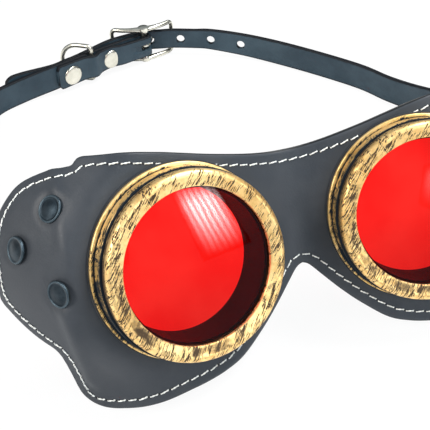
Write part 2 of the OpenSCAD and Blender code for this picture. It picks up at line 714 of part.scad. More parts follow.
mask_leather();
mask_lining();
cup("left");  // cup_left
cup("right");  // cup_right
base_washer("left");  // base_washer_left
base_washer("right");  // base_washer_right
clamp_ring("left");  // clamp_ring_left
clamp_ring("right");  // clamp_ring_right
bezel("left");  // bezel_left
bezel("right");  // bezel_right
lens("left");  // lens_left
lens("right");  // lens_right
lens_seal("left");  // lens_seal_left
lens_seal("right");  // lens_seal_right
wing_rivet_caps("left");  // wing_rivet_caps_left
wing_rivet_caps("right");  // wing_rivet_caps_right
wing_rivet_posts("left");  // wing_rivet_posts_left
wing_rivet_posts("right");  // wing_rivet_posts_right
strap_left();
strap_right();
buckle_frame();
buckle_prong();
d_ring();
strap_rivet_caps();
strap_rivet_posts();
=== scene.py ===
"""Visual scene of the steampunk goggles.

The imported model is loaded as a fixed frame. Every soft or finely finished
piece is modelled again in its place, and all pieces get procedural finishes.
Lengths are millimetres in the frame's axes, and a mesh is scaled to metres
when it is made.
"""

import logging
import math
from dataclasses import dataclass, field
from enum import Enum
from typing import Any, Optional, Sequence, Union

import bmesh
import bpy
import numpy as np
from mathutils import Matrix, Vector


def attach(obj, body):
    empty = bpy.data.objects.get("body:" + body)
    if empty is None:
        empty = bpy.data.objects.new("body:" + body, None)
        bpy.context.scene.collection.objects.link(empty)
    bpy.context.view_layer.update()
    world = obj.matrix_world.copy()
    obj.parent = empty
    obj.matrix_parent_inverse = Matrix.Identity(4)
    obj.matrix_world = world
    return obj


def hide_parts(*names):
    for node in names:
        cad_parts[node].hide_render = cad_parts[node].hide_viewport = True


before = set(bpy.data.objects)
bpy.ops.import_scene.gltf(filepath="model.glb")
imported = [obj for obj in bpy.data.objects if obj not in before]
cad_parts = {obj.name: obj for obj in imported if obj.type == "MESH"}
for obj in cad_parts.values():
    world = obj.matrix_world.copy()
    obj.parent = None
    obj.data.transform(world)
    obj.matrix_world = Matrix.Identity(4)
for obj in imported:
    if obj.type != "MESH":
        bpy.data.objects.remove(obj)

LOG = logging.getLogger("goggles")
Array = np.ndarray
MM = 0.001
TURN = 2 * math.pi
Y_AXIS = np.array([0.0, 1.0, 0.0])
Z_AXIS = np.array([0.0, 0.0, 1.0])
MIRROR = np.array([-1.0, 1.0, 1.0])
# Camera that fits the photograph, a square picture
PICTURE = 430
LENS_MM, SENSOR_MM = 62.8, 36.0
EYE = (-79.087, -244.3773, 192.8006)
VIEW_RIGHT = (0.949376, -0.313905, -0.012224)
VIEW_UP = (0.211639, 0.610357, 0.763331)
VIEW_AHEAD = (0.232152, 0.727275, -0.645892)
# Corners of the glare on each lens, in pixels of the picture
GLARE_LEFT = ((168, 188), (213, 180), (252, 242), (204, 262))
GLARE_RIGHT = ((424, 165), (452, 158), (450, 215), (418, 205))


class Side(Enum):
    """Half of the mask, seen from its front."""

    LEFT = "left"
    RIGHT = "right"

    @property
    def sign(self) -> float:
        """Direction of the side along X."""
        return -1.0 if self is Side.LEFT else 1.0


class Layer(Enum):
    """Leather layer of the mask: depth of its front and its back."""

    OUTER = (0.0, 1.6)
    LINING = (1.7, 2.9)


@dataclass(frozen=True)
class Sizes:
    """Sizes of the goggles in millimetres, as built in the frame."""

    cup_x: float = 36.8
    toe: float = math.radians(10.7)
    lean: float = math.radians(30.0)
    seat: float = 11.2
    flat_r: float = 30.6
    brim_r: float = 10.0
    brim_a: float = math.radians(50.0)
    wing_r: float = 80.0
    nose_r: float = 30.0
    washer_r: float = 30.0
    strap_front: float = 3.35
    strap_back: float = 5.55
    strap_w: float = 12.7
    tail_w: float = 10.5
    fold_w: float = 10.3
    strap_t: float = 2.2
    fan_w: float = 17.5
    hole_d: float = 4.2
    hole_pitch: float = 16.0
    bar_x: float = -4.6
    bar_y: float = 202.4
    buckle_z: float = 9.7
    hook_z: float = 9.2
    buckle_h: float = 14.0
    wire_d: float = 2.2
    bar_d: float = 2.6
    bow_r: float = 28.0
    bow_a: float = math.radians(29.0)
    corner_r: float = 2.5
    prong_d: float = 1.9
    stand_y: float = -97.8243
    stand_z: float = 44.6356


SIZES = Sizes()


def ease(v: Any) -> Array:
    """Smooth step from 0 to 1."""
    c = np.clip(v, 0.0, 1.0)
    return c * c * (3.0 - 2.0 * c)


def bell(v: Array, middle: Any, width: float) -> Array:
    """Bell curve of height 1."""
    return np.exp(-((v - middle) / width) ** 2)


def round_off(way: Array, length: float) -> Array:
    """Quarter circle that rises from 0 to 1 over a length from an end."""
    return np.sqrt(1 - (1 - np.clip(way / length, 0, 1)) ** 2)


def unit(v: Array) -> Array:
    """Vectors along the last axis, scaled to length 1."""
    return v / np.maximum(np.linalg.norm(v, axis=-1, keepdims=True), 1e-9)


def spline(points: Sequence[Sequence[float]], steps: int) -> Array:
    """Smooth curve through points.

    Args:
        points: Places that the curve passes.
        steps: Pieces between each place and the next.

    Returns:
        The curve's points, the last place included.
    """
    p = np.asarray(points, float)
    out = []
    for i in range(len(p) - 1):
        a, b, c, d = p[max(0, i - 1)], p[i], p[i + 1], p[min(len(p) - 1, i + 2)]
        for j in range(steps):
            t = j / steps
            out.append(0.5 * (2 * b + (c - a) * t + (2 * a - 5 * b + 4 * c - d) * t * t
                              + (3 * b - a - 3 * c + d) * t ** 3))
    out.append(p[-1])
    return np.array(out)


def lengths(path: Array) -> Array:
    """Distance along a path at each of its points."""
    return np.concatenate([[0.0], np.cumsum(np.linalg.norm(np.diff(path, axis=0), axis=1))])


def at_lengths(path: Array, where: Array) -> Array:
    """Points of a path at given distances along it."""
    run = lengths(path)
    return np.stack([np.interp(where, run, path[:, k]) for k in range(path.shape[1])], -1)


@dataclass
class MaskSurface:
    """Front face of the mask's leather, laid out in s (out from the cup) and z."""

    # Middle, half width and fade of the fan where the leather bends back, in degrees
    fan: tuple = (6.0, 88.0, 46.0)
    # Half of the distance over which the surface's direction is measured
    near: float = 0.05

    def __post_init__(self) -> None:
        """Finds where the leather's bend over the nose meets the cup's seat."""
        t = SIZES
        self.nose_y = (t.seat - t.nose_r + t.cup_x * math.sin(t.toe)) / math.cos(t.toe)
        px = t.cup_x + t.seat * math.sin(t.toe)
        py = t.seat * math.cos(t.toe)
        self.nose_s = ((t.nose_r * math.sin(t.toe) - px) * math.cos(t.toe)
                       - (self.nose_y + t.nose_r * math.cos(t.toe) - py) * math.sin(t.toe))
        self.middle_s = self.nose_s - t.nose_r * t.toe

    def brim(self, q: Array) -> tuple[Array, Array]:
        """Distance out and drop behind the seat, at distance q along the leather.

        Args:
            q: Distances from the middle of the eye, along the leather.

        Returns:
            The distances out, and the drops.
        """
        t = SIZES
        bend = t.brim_r * t.brim_a
        a = np.clip((q - t.flat_r) / t.brim_r, 0, t.brim_a)
        b = t.brim_a + np.maximum(q - t.flat_r - bend, 0) / t.wing_r
        out = np.minimum(q, t.flat_r) + t.brim_r * np.sin(a)
        out = out + t.wing_r * (np.sin(b) - math.sin(t.brim_a))
        drop = t.brim_r * (1 - np.cos(a)) + t.wing_r * (math.cos(t.brim_a) - np.cos(b))
        return out, drop

    def leaf(self, s: Array, z: Array) -> Array:
        """Point of the front face in the mask's own axes.

        Args:
            s: Distances out from the middle of the eye.
            z: Heights.

        Returns:
            The points.
        """
        t = SIZES
        a = t.toe - (self.nose_s - s) / t.nose_r
        nose = np.stack([t.nose_r * np.sin(a), self.nose_y + t.nose_r * np.cos(a), z], -1)
        r = np.maximum(MM, np.hypot(s, z))
        middle, half, fade = self.fan
        share = ease((half - np.abs(np.degrees(np.arctan2(z, s)) - middle)) / fade)
        out, drop = self.brim(r)
        k = (r + share * (out - r)) / r
        deep = t.seat + share * drop
        c, n = math.cos(t.toe), math.sin(t.toe)
        cup = np.stack([t.cup_x + s * k * c + deep * n, -s * k * n + deep * c, z * k], -1)
        return np.where((s < self.nose_s)[..., None], nose, cup)

    def behind(self, s: Array, z: Array) -> Array:
        """Unit vector out of the back of the leather."""
        u = self.leaf(s + self.near, z) - self.leaf(s - self.near, z)
        v = self.leaf(s, z + self.near) - self.leaf(s, z - self.near)
        return unit(np.cross(v, u))

    def skin(self, s: Any, z: Any, depth: Any, side: Side = Side.RIGHT) -> Array:
        """Point at a depth behind the front face, in the frame's axes."""
        s, z = np.broadcast_arrays(np.asarray(s, float), np.asarray(z, float))
        p = self.leaf(s, z) + np.asarray(depth, float)[..., None] * self.behind(s, z)
        return self.to_row(p, side)

    def to_row(self, p: Array, side: Side = Side.RIGHT) -> Array:
        """Point from the mask's own axes to the frame's."""
        return self.turn(p, side) + np.array([0.0, SIZES.stand_y, SIZES.stand_z])

    def turn(self, v: Array, side: Side = Side.RIGHT) -> Array:
        """Direction from the mask's own axes to the frame's."""
        c, n = math.cos(SIZES.lean), math.sin(SIZES.lean)
        return np.stack([v[..., 0] * side.sign, v[..., 1] * c + v[..., 2] * n,
                         v[..., 2] * c - v[..., 1] * n], -1)

    def cup_lathe(self, side: Side) -> "Lathe":
        """Axis of an eye cup, from the middle of its opening."""
        t = SIZES
        axis = self.turn(np.array([-math.sin(t.toe), -math.cos(t.toe), 0.0]), side)
        return Lathe(self.to_row(np.array([t.cup_x, 0.0, 0.0]), side), axis, self.turn(Z_AXIS))


@dataclass
class Outline:
    """Outline of half of the laid-out mask: rows of position, top and bottom.

    The position is a share of the way on the nose and beside the cup, and
    millimetres past the cup's ring on the wing.
    """

    surface: MaskSurface
    nose: tuple = ((0, 25.5, 11.3), (0.055, 25.5, 12.4), (0.155, 25.8, 16.9),
                   (0.29, 26.5, 22.8), (0.443, 27.6, 28.6), (0.646, 29.3, 35),
                   (0.823, 31, 37.8))
    cup: tuple = ((0, 32.7, 39.2), (0.267, 34.5, 40.1), (0.557, 36.4, 41.7),
                  (0.7, 37.6, 42.6), (0.8, 38.6, 43.2), (0.86, 38.5, 43.6),
                  (0.89, 37.8, 43.8), (0.927, 37, 44.1), (1, 37.3, 44.7))
    wing: tuple = ((3.5, 37.9, 45.4), (6.5, 38.3, 45.3), (8.8, 38.4, 44.2),
                   (10.4, 38.3, 42.4), (11.4, 38.3, 39.1), (12.2, 38.2, 33.5),
                   (12.9, 38.1, 28.2), (13.8, 38, 24), (15.6, 37.7, 21),
                   (18.5, 36.7, 18.8), (21.5, 34.8, 16.3), (25, 31.8, 13),
                   (28, 28.4, 10.1), (30.5, 24.1, 7.5), (32, 19.2, 5.8),
                   (33, 12.5, 4.2), (33.7, 5, 2.5), (34, 1.8, 0.9))

    def fine(self, steps: int) -> Array:
        """Rows of s, top and bottom of a smooth outline, from the nose to the wing's tip.

        Args:
            steps: Pieces between each row and the next.

        Returns:
            The rows, each of three numbers.
        """
        m, w = self.surface.middle_s, SIZES.washer_r
        rows = [(m * (1 - p), a, -b) for p, a, b in self.nose]
        rows += [(w * p, a, -b) for p, a, b in self.cup]
        rows += [(w + p, a, -b) for p, a, b in self.wing]
        return spline(rows, steps)

    def loop(self) -> Array:
        """Closed outline of both halves: distance from the middle of the nose, and z.

        Returns:
            The points, of two numbers each.
        """
        f = self.fine(8)
        x = f[:, 0] - self.surface.middle_s
        top = np.stack([x, f[:, 1]], -1)
        low = np.stack([x, f[:, 2]], -1)
        right = np.concatenate([top, low[::-1]])
        left = right[::-1] * [-1, 1]
        return np.concatenate([right, left[1:-1]])


@dataclass
class Piece:
    """Mesh data under way: points, faces and values stored on the points."""

    points: list = field(default_factory=list)
    faces: list = field(default_factory=list)
    values: dict = field(default_factory=dict)

    def add(self, points: Array, faces: Sequence, **values: Array) -> None:
        """Adds points and faces.

        Args:
            points: Places in millimetres.
            faces: Corner numbers of each face, counted from these points.
            values: Numbers or vectors to store on the points, by name.
        """
        start = len(self.points)
        self.points.extend(np.asarray(points, float).reshape(-1, 3))
        self.faces.extend([[start + i for i in f] for f in faces])
        for name, data in values.items():
            self.values.setdefault(name, []).extend(np.asarray(data, float).tolist())

    def build(self, name: str, smooth: float = 40.0, turn_out: bool = True) -> bpy.types.Object:
        """Makes the object, in metres.

        Args:
            name: Name of the piece.
            smooth: Angle in degrees up to which faces are shaded smooth.
            turn_out: Whether normals are made to point outward.

        Returns:
            The object, linked to the scene.
        """
        mesh = bpy.data.meshes.new(name)
        mesh.from_pydata([tuple(p * MM) for p in self.points], [], self.faces)
        for key, data in self.values.items():
            data = np.array(data, float)
            kind = "FLOAT_VECTOR" if data.ndim == 2 else "FLOAT"
            layer = mesh.attributes.new(key, kind, "POINT")
            layer.data.foreach_set("vector" if data.ndim == 2 else "value", data.ravel())
        mesh.update()
        if turn_out:
            bm = bmesh.new()
            bm.from_mesh(mesh)
            bmesh.ops.recalc_face_normals(bm, faces=bm.faces)
            bm.to_mesh(mesh)
            bm.free()
        mesh.shade_smooth()
        mesh.set_sharp_from_angle(angle=math.radians(smooth))
        obj = bpy.data.objects.new(name, mesh)
        bpy.context.scene.collection.objects.link(obj)
        return obj


def grid_faces(rows: int, cols: int, wrap: bool = False, caps: bool = False,
               loop: bool = False) -> list:
    """Faces of a grid of points, row by row.

    Args:
        rows: Number of rows.
        cols: Points in each row.
        wrap: Whether each row is a closed ring.
        caps: Whether the first and last ring are closed.
        loop: Whether the last row joins the first.

    Returns:
        Corner numbers of each face.
    """
    faces = []
    for i in range(rows - 1):
        for j in range(cols if wrap else cols - 1):
            k = (j + 1) % cols
            faces.append([i * cols + j, i * cols + k, (i + 1) * cols + k, (i + 1) * cols + j])
    last = (rows - 1) * cols
    if caps:
        faces.append(list(range(cols))[::-1])
        faces.append([last + j for j in range(cols)])
    if loop:
        faces += [[last + j, last + (j + 1) % cols, (j + 1) % cols, j] for j in range(cols)]
    return faces


def ring(count: int) -> Array:
    """Angles of the points of a circle."""
    return np.linspace(0, TURN, count, endpoint=False)


def settle(obj: bpy.types.Object) -> bpy.types.Object:
    """Replaces the object's mesh by the result of its modifiers.

    Args:
        obj: Object with modifiers.

    Returns:
        The same object.
    """
    graph = bpy.context.evaluated_depsgraph_get()
    mesh = bpy.data.meshes.new_from_object(obj.evaluated_get(graph))
    obj.modifiers.clear()
    old = obj.data
    obj.data = mesh
    bpy.data.meshes.remove(old)
    return obj


def cut(obj: bpy.types.Object, cutter: bpy.types.Object) -> bpy.types.Object:
    """Takes the cutter's space out of the object and removes the cutter.

    Args:
        obj: Object to cut.
        cutter: Closed mesh of the space to take out.

    Returns:
        The first object.
    """
    mod = obj.modifiers.new("cut", "BOOLEAN")
    mod.operation = "DIFFERENCE"
    mod.solver = "EXACT"
    mod.object = cutter
    settle(obj)
    bpy.data.objects.remove(cutter)
    return obj


# Node trees and finishes


class Tree:
    """A node tree under way: one method makes any node."""

    def __init__(self, tree: bpy.types.NodeTree) -> None:
        """Takes the tree to work in."""
        self.tree = tree

    def node(self, kind: str, inputs: Optional[dict] = None, **settings: Any) -> bpy.types.Node:
        """Makes a node.

        Args:
            kind: Node type.
            inputs: Values or links, by socket name, identifier or index.
            settings: Properties of the node.

        Returns:
            The node.
        """
        made = self.tree.nodes.new(kind)
        for key, value in settings.items():
            setattr(made, key, value)
        for key, value in (inputs or {}).items():
            socket = self.find(made.inputs, key)
            value = value.socket if isinstance(value, Sock) else value
            if isinstance(value, bpy.types.NodeSocket):
                self.tree.links.new(value, socket)
            else:
                socket.default_value = value
        return made

    @staticmethod
    def find(sockets: Any, key: Union[str, int]) -> bpy.types.NodeSocket:
        """Socket by index, identifier or name.

        Args:
            sockets: Inputs or outputs of a node.
            key: Index, identifier or name.

        Returns:
            The first socket that fits.
        """
        if isinstance(key, int):
            return sockets[key]
        same = [s for s in sockets if s.identifier == key]
        same += [s for s in sockets if s.name == key and s.enabled]
        return same[0]

    def out(self, node: bpy.types.Node, key: Union[str, int] = 0) -> "Sock":
        """Output of a node, wrapped for arithmetic."""
        return Sock(self, self.find(node.outputs, key))

    def get(self, kind: str, inputs: Optional[dict] = None, key: Union[str, int] = 0,
            **settings: Any) -> "Sock":
        """Makes a node and returns one of its outputs, wrapped for arithmetic."""
        return self.out(self.node(kind, inputs, **settings), key)


@dataclass(frozen=True)
class Sock:
    """A number in a shader tree, which takes part in arithmetic."""

    tree: Tree
    socket: bpy.types.NodeSocket

    def math(self, op: str, *others: Any, clamp: bool = False) -> "Sock":
        """Result of a Math node whose first input is this number."""
        return self.tree.get("ShaderNodeMath", dict(enumerate((self,) + others)),
                             operation=op, use_clamp=clamp)

    def flip(self, op: str, first: float) -> "Sock":
        """Result of a Math node whose second input is this number."""
        return self.tree.get("ShaderNodeMath", {0: first, 1: self}, operation=op)

    def __add__(self, other: Any) -> "Sock":
        """Sum."""
        return self.math("ADD", other)

    def __radd__(self, other: float) -> "Sock":
        """Sum."""
        return self.flip("ADD", other)

    def __sub__(self, other: Any) -> "Sock":
        """Difference."""
        return self.math("SUBTRACT", other)

    def __rsub__(self, other: float) -> "Sock":
        """Difference."""
        return self.flip("SUBTRACT", other)

    def __mul__(self, other: Any) -> "Sock":
        """Product."""
        return self.math("MULTIPLY", other)

    def __rmul__(self, other: float) -> "Sock":
        """Product."""
        return self.flip("MULTIPLY", other)

    def __pow__(self, other: Any) -> "Sock":
        """Power."""
        return self.math("POWER", other)

    def step(self, low: float, high: float, start: float = 0.0, stop: float = 1.0) -> "Sock":
        """Smooth change from start to stop while this number goes from low to high.

        Args:
            low: Number at which the change starts.
            high: Number at which it is complete.
            start: Result before the change.
            stop: Result after it.

        Returns:
            The result.
        """
        return self.tree.get("ShaderNodeMapRange",
                             {"Value": self, "From Min": low, "From Max": high,
                              "To Min": start, "To Max": stop},
                             interpolation_type="SMOOTHSTEP")


class Shader(Tree):
    """Material tree with the nodes that the finishes share."""

    def __init__(self, name: str) -> None:
        """Makes an empty material.

        Args:
            name: Name of the material.
        """
        self.material = bpy.data.materials.new(name)
        self.material.use_nodes = True
        super().__init__(self.material.node_tree)
        self.tree.nodes.clear()
        self.place = self.get("ShaderNodeTexCoord", key="Object")

    def stored(self, name: str, key: str = "Vector") -> Sock:
        """Value stored on the mesh under a name."""
        return self.get("ShaderNodeAttribute", key=key, attribute_name=name)

    def scaled(self, vector: Sock, by: Sequence[float]) -> Sock:
        """Vector scaled along each axis."""
        return self.get("ShaderNodeVectorMath", {0: vector, 1: tuple(by)}, operation="MULTIPLY")

    def joined(self, x: Any, y: Any, z: Any) -> Sock:
        """Vector of three numbers."""
        return self.get("ShaderNodeCombineXYZ", {0: x, 1: y, 2: z})

    def parts(self, vector: Sock) -> list[Sock]:
        """The three numbers of a vector."""
        made = self.node("ShaderNodeSeparateXYZ", {0: vector})
        return [self.out(made, i) for i in range(3)]

    def noise(self, vector: Sock, scale: float, detail: float = 3.0, rough: float = 0.55,
              twist: float = 0.0) -> Sock:
        """Fractal noise from 0 to 1."""
        return self.get("ShaderNodeTexNoise",
                        {"Vector": vector, "Scale": scale, "Detail": detail,
                         "Roughness": rough, "Distortion": twist}, "Fac")

    def cells(self, vector: Sock, scale: float) -> Sock:
        """Distance within cells, for pores and grain."""
        return self.get("ShaderNodeTexVoronoi", {"Vector": vector, "Scale": scale}, "Distance")

    def mix(self, share: Any, first: Any, second: Any) -> Sock:
        """Colour between two colours."""
        return self.get("ShaderNodeMix",
                        {"Factor_Float": share, "A_Color": self.colour(first),
                         "B_Color": self.colour(second)}, "Result_Color", data_type="RGBA")

    @staticmethod
    def colour(value: Any) -> Any:
        """Colour with its fourth number."""
        return (*value, 1.0) if isinstance(value, tuple) and len(value) == 3 else value

    def bump(self, height: Sock, strength: float, distance: float) -> Sock:
        """Normal tilted by a height."""
        return self.get("ShaderNodeBump",
                        {"Height": height, "Strength": strength, "Distance": distance}, "Normal")

    def end(self, node: bpy.types.Node) -> bpy.types.Material:
        """Puts a shader node at the end of the tree."""
        self.node("ShaderNodeOutputMaterial", {0: node.outputs[0]})
        return self.material

    def finish(self, **inputs: Any) -> bpy.types.Material:
        """Ends the tree in a Principled shader.

        Args:
            inputs: Values or links by socket name, with underscores for spaces.
        """
        named = {k.replace("_", " "): self.colour(v) for k, v in inputs.items()}
        return self.end(self.node("ShaderNodeBsdfPrincipled", named))


@dataclass(frozen=True)
class Finish:
    """A procedural material with two main colours."""

    name: str
    colour: tuple
    tint: tuple

    def make(self) -> bpy.types.Material:
        """Builds the material.

        Returns:
            The material.
        """
        raise NotImplementedError
@dataclass(frozen=True)
class LeatherFinish(Finish):
    """Smooth leather with fine pores, mottling and darker cut edges."""

    edge: tuple
    rough: float = 0.44
    grain: float = 1500.0
    depth: float = 0.12

    def make(self) -> bpy.types.Material:
        """Builds the material.

        Returns:
            The material.
        """
        s = Shader(self.name)
        mottle = s.noise(s.place, 38.0, 4.0, 0.6)
        cloud = s.noise(s.place, 11.0, 2.0)
        fine = s.noise(s.place, 420.0, 3.0, 0.6)
        pores = s.cells(s.place, self.grain)
        body = s.mix(mottle.step(0.32, 0.7), self.colour, self.tint)
        body = s.mix((cloud - 0.5) * 0.9 + (fine - 0.5) * 0.35, body,
                     tuple(min(1.0, c * 1.7 + 0.01) for c in self.colour))
        worn = (s.stored("rim", "Fac") + (fine - 0.5) * 0.5).step(0.35, 0.8)
        crease = s.noise(s.scaled(s.place, (1.0, 1.0, 1.6)), 160.0, 5.0, 0.6, 0.4)
        height = pores * 0.5 + fine * 0.5 + crease * 0.7
        return s.finish(Base_Color=s.mix(worn, body, self.edge),
                        Roughness=self.rough + (mottle - 0.5) * 0.22 + worn * 0.1,
                        Normal=s.bump(height, self.depth, 0.0004), Specular_IOR_Level=0.24)


@dataclass(frozen=True)
class SuedeFinish(Finish):
    """Flesh side of leather: matt, fibrous, dark."""

    def make(self) -> bpy.types.Material:
        """Builds the material.

        Returns:
            The material.
        """
        s = Shader(self.name)
        fibre = s.noise(s.place, 900.0, 4.0, 0.7)
        nap = s.noise(s.place, 90.0, 4.0, 0.6, 0.8)
        tone = s.mix(nap.step(0.3, 0.75), self.colour, self.tint)
        tone = s.mix(fibre.step(0.5, 0.85), tone, tuple(c * 2.2 for c in self.tint))
        return s.finish(Base_Color=tone, Roughness=0.8 + (nap - 0.5) * 0.2,
                        Normal=s.bump(fibre + nap, 0.35, 0.0004), Sheen_Weight=0.25,
                        Specular_IOR_Level=0.2)


@dataclass(frozen=True)
class BrassFinish(Finish):
    """Worn brass: dark patina in hollows, rubbed edges, turned and brushed marks.

    Wear and local coordinates in millimetres are stored on the mesh.
    """

    patina: tuple
    strokes: float
    bias: float
    rough: float

    def make(self) -> bpy.types.Material:
        """Builds the material.

        Returns:
            The material.
        """
        s = Shader(self.name)
        x, y, z = s.parts(s.stored("local"))
        r = (x * x + y * y) ** 0.5
        angle = y.math("ARCTAN2", x)
        across, along = x * 0.8 - y * 0.6, x * 0.6 + y * 0.8
        hatch = s.noise(s.joined(across * 3.7, along * 0.3, z * 1.1), 1.0, 2.0, 0.55)
        scuff = s.noise(s.joined(angle.math("COSINE") * 60.0, angle.math("SINE") * 60.0,
                                 z * 0.5), 1.0, 2.5, 0.6)
        stroke = hatch * 0.8 + scuff * 0.2
        wide = s.noise(s.joined(across * 0.34, along * 0.16, z * 0.2), 1.0, 3.0, 0.6)
        patch = s.noise(s.place, 170.0, 4.0, 0.62, 0.6)
        broad = s.noise(s.place, 46.0, 3.0)
        speck = s.noise(s.place, 620.0, 3.0, 0.7)
        # The bare gold share grows slowly towards the upper right of each cup and ring
        upper_side_gold = (x * 0.5 + y) * 0.006
        rub = (s.stored("wear", "Fac") + (patch - 0.5) * 1.15 + (broad - 0.5) * 0.7 + self.bias
               - stroke.step(0.48, 0.57) * wide.step(0.38, 0.56) * self.strokes
               - speck.step(0.62, 0.78) * 0.35 + upper_side_gold)
        share = rub.step(0.22, 0.62)
        gold = s.mix((broad * 0.6 + speck * 0.5).step(0.38, 0.68), self.tint, self.colour)
        lathe = s.noise(s.joined(r * 9.0, z * 9.0, angle * 0.4), 1.0, 2.0)
        height = share * 0.9 + stroke * 0.55 + lathe * 0.25 + speck * 0.25
        return s.finish(Base_Color=s.mix(share, self.patina, gold), Metallic=share * 0.3 + 0.5,
                        Roughness=self.rough + (1.0 - share) * 0.22 + (patch - 0.5) * 0.2,
                        Normal=s.bump(height, 0.4, 0.00022), Specular_IOR_Level=0.3)


@dataclass(frozen=True)
class MetalFinish(Finish):
    """Plated or blackened metal with fine scratches and a lighter worn rim."""

    rim: tuple
    rough: float
    metallic: float
    scratch: float

    def make(self) -> bpy.types.Material:
        """Builds the material.

        Returns:
            The material.
        """
        s = Shader(self.name)
        cloud = s.noise(s.place, 210.0, 3.0)
        fine = s.noise(s.scaled(s.place, (1.0, 0.35, 1.0)), 1900.0, 3.0, 0.65)
        spot = s.noise(s.place, 780.0, 4.0, 0.6)
        tone = s.mix(cloud.step(0.34, 0.68), self.colour, self.tint)
        worn = (s.stored("wear", "Fac") + (spot - 0.5) * 0.5).step(0.55, 0.85)
        return s.finish(Base_Color=s.mix(worn, tone, self.rim), Metallic=self.metallic,
                        Roughness=self.rough + (cloud - 0.5) * 0.16 + (spot - 0.5) * 0.1,
                        Normal=s.bump(fine + cloud * 0.5, self.scratch, 0.00015))


@dataclass(frozen=True)
class GlassFinish(Finish):
    """Clear red glass with a faint film and fine dust."""

    def make(self) -> bpy.types.Material:
        """Builds the material.

        Returns:
            The material.
        """
        s = Shader(self.name)
        film = s.noise(s.place, 60.0, 3.0)
        dust = s.noise(s.place, 1300.0, 2.0, 0.7)
        return s.finish(Base_Color=s.mix(film.step(0.3, 0.7), self.colour, self.tint),
                        Roughness=0.015 + dust.step(0.66, 0.8) * 0.12,
                        Normal=s.bump(film, 0.02, 0.0006), Transmission_Weight=1.0,
                        IOR=1.3, Specular_IOR_Level=0.6)


@dataclass(frozen=True)
class RubberFinish(Finish):
    """Matt black rubber with moulding grain."""

    def make(self) -> bpy.types.Material:
        """Builds the material.

        Returns:
            The material.
        """
        s = Shader(self.name)
        grain = s.noise(s.place, 1400.0, 3.0, 0.6)
        dust = s.noise(s.place, 120.0, 4.0, 0.6)
        return s.finish(Base_Color=s.mix(dust.step(0.45, 0.8), self.colour, self.tint),
                        Roughness=0.62 + (dust - 0.5) * 0.25,
                        Normal=s.bump(grain, 0.2, 0.0002), Specular_IOR_Level=0.35)


@dataclass(frozen=True)
class ThreadFinish(Finish):
    """Waxed linen thread, off-white with a little soil between its plies."""

    def make(self) -> bpy.types.Material:
        """Builds the material.

        Returns:
            The material.
        """
        s = Shader(self.name)
        soil = s.noise(s.place, 300.0, 3.0, 0.6)
        fibre = s.noise(s.place, 5200.0, 2.0, 0.6)
        tone = s.mix((soil * 0.7 + fibre * 0.4).step(0.45, 0.8), self.colour, self.tint)
        return s.finish(Base_Color=tone, Roughness=0.75 + (fibre - 0.5) * 0.2,
                        Normal=s.bump(fibre, 0.3, 0.0001), Sheen_Weight=0.15)


class Finishes:
    """All materials, made once and handed out by slot."""

    SLOTS = {
        "mask_leather": LeatherFinish("leather_grey", (0.027, 0.032, 0.039),
                                      (0.04, 0.044, 0.051), (0.004, 0.006, 0.008)),
        "strap_leather": LeatherFinish("leather_blue_grey", (0.012, 0.026, 0.038),
                                       (0.032, 0.054, 0.07), (0.001, 0.002, 0.004),
                                       rough=0.5, grain=1300.0, depth=0.16),
        "lining_leather": SuedeFinish("lining_suede", (0.03, 0.028, 0.026),
                                      (0.06, 0.056, 0.052)),
        "ring_brass": BrassFinish("brass_ring", (0.9, 0.63, 0.28), (0.68, 0.4, 0.13),
                                  (0.06, 0.036, 0.018), strokes=0.98, bias=0.05, rough=0.38),
        "cup_brass": BrassFinish("brass_cup", (0.88, 0.62, 0.28), (0.58, 0.36, 0.11),
                                 (0.008, 0.014, 0.022), strokes=0.55, bias=0.06, rough=0.42),
        "nickel": MetalFinish("nickel_plate", (0.54, 0.52, 0.44), (0.64, 0.615, 0.535),
                              (0.8, 0.78, 0.7), rough=0.3, metallic=1.0, scratch=0.05),
        "dark_steel": MetalFinish("gunmetal", (0.008, 0.014, 0.02), (0.03, 0.042, 0.052),
                                  (0.05, 0.07, 0.085), rough=0.42, metallic=0.9, scratch=0.2),
        "red_glass": GlassFinish("red_glass", (0.93, 0.008, 0.006), (0.97, 0.02, 0.014)),
        "black_rubber": RubberFinish("black_rubber", (0.008, 0.009, 0.01),
                                     (0.03, 0.03, 0.032)),
        "thread": ThreadFinish("waxed_thread", (0.86, 0.86, 0.82), (0.5, 0.5, 0.47)),
        # Painted shade of the needle holes, made with the rubber finish
        "needle_hole_shade": RubberFinish("needle_hole_shade", (0.004, 0.005, 0.006),
                                    (0.012, 0.013, 0.015)),
    }

    def __init__(self) -> None:
        """Builds every finish."""
        self.made = {slot: finish.make() for slot, finish in self.SLOTS.items()}

    def give(self, obj: bpy.types.Object, slot: str) -> None:
        """Puts a finish on an object, in place of what it had.

        Args:
            obj: Object to finish.
            slot: Slot of the finish.
        """
        if not obj.data.materials:
            obj.data.materials.append(self.made[slot])
            return
        for held in obj.material_slots:
            held.link = "OBJECT"
            held.material = self.made[slot]

    def dress(self, obj: bpy.types.Object, slot: str, body: str, node: str) -> None:
        """Args:
            obj: Piece.
            slot: Slot of its finish.
            body: Body that carries it.
            node: Node in whose place it stands.
        """
        self.give(obj, slot)
        register(obj, body, node)


def register(obj: bpy.types.Object, body: str, node: str = "") -> None:
    """Hangs a piece on the empty of the body that carries it, and hides the node it stands for.

    Args:
        obj: Piece.
        body: Body that carries it.
        node: Node in whose place it stands, if any.
    """
    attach(obj, body)
    if node:
        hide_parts(node)
    LOG.info("%s on %s, %d faces", obj.name, body, len(obj.data.polygons))


# Pieces placed by Geometry Nodes


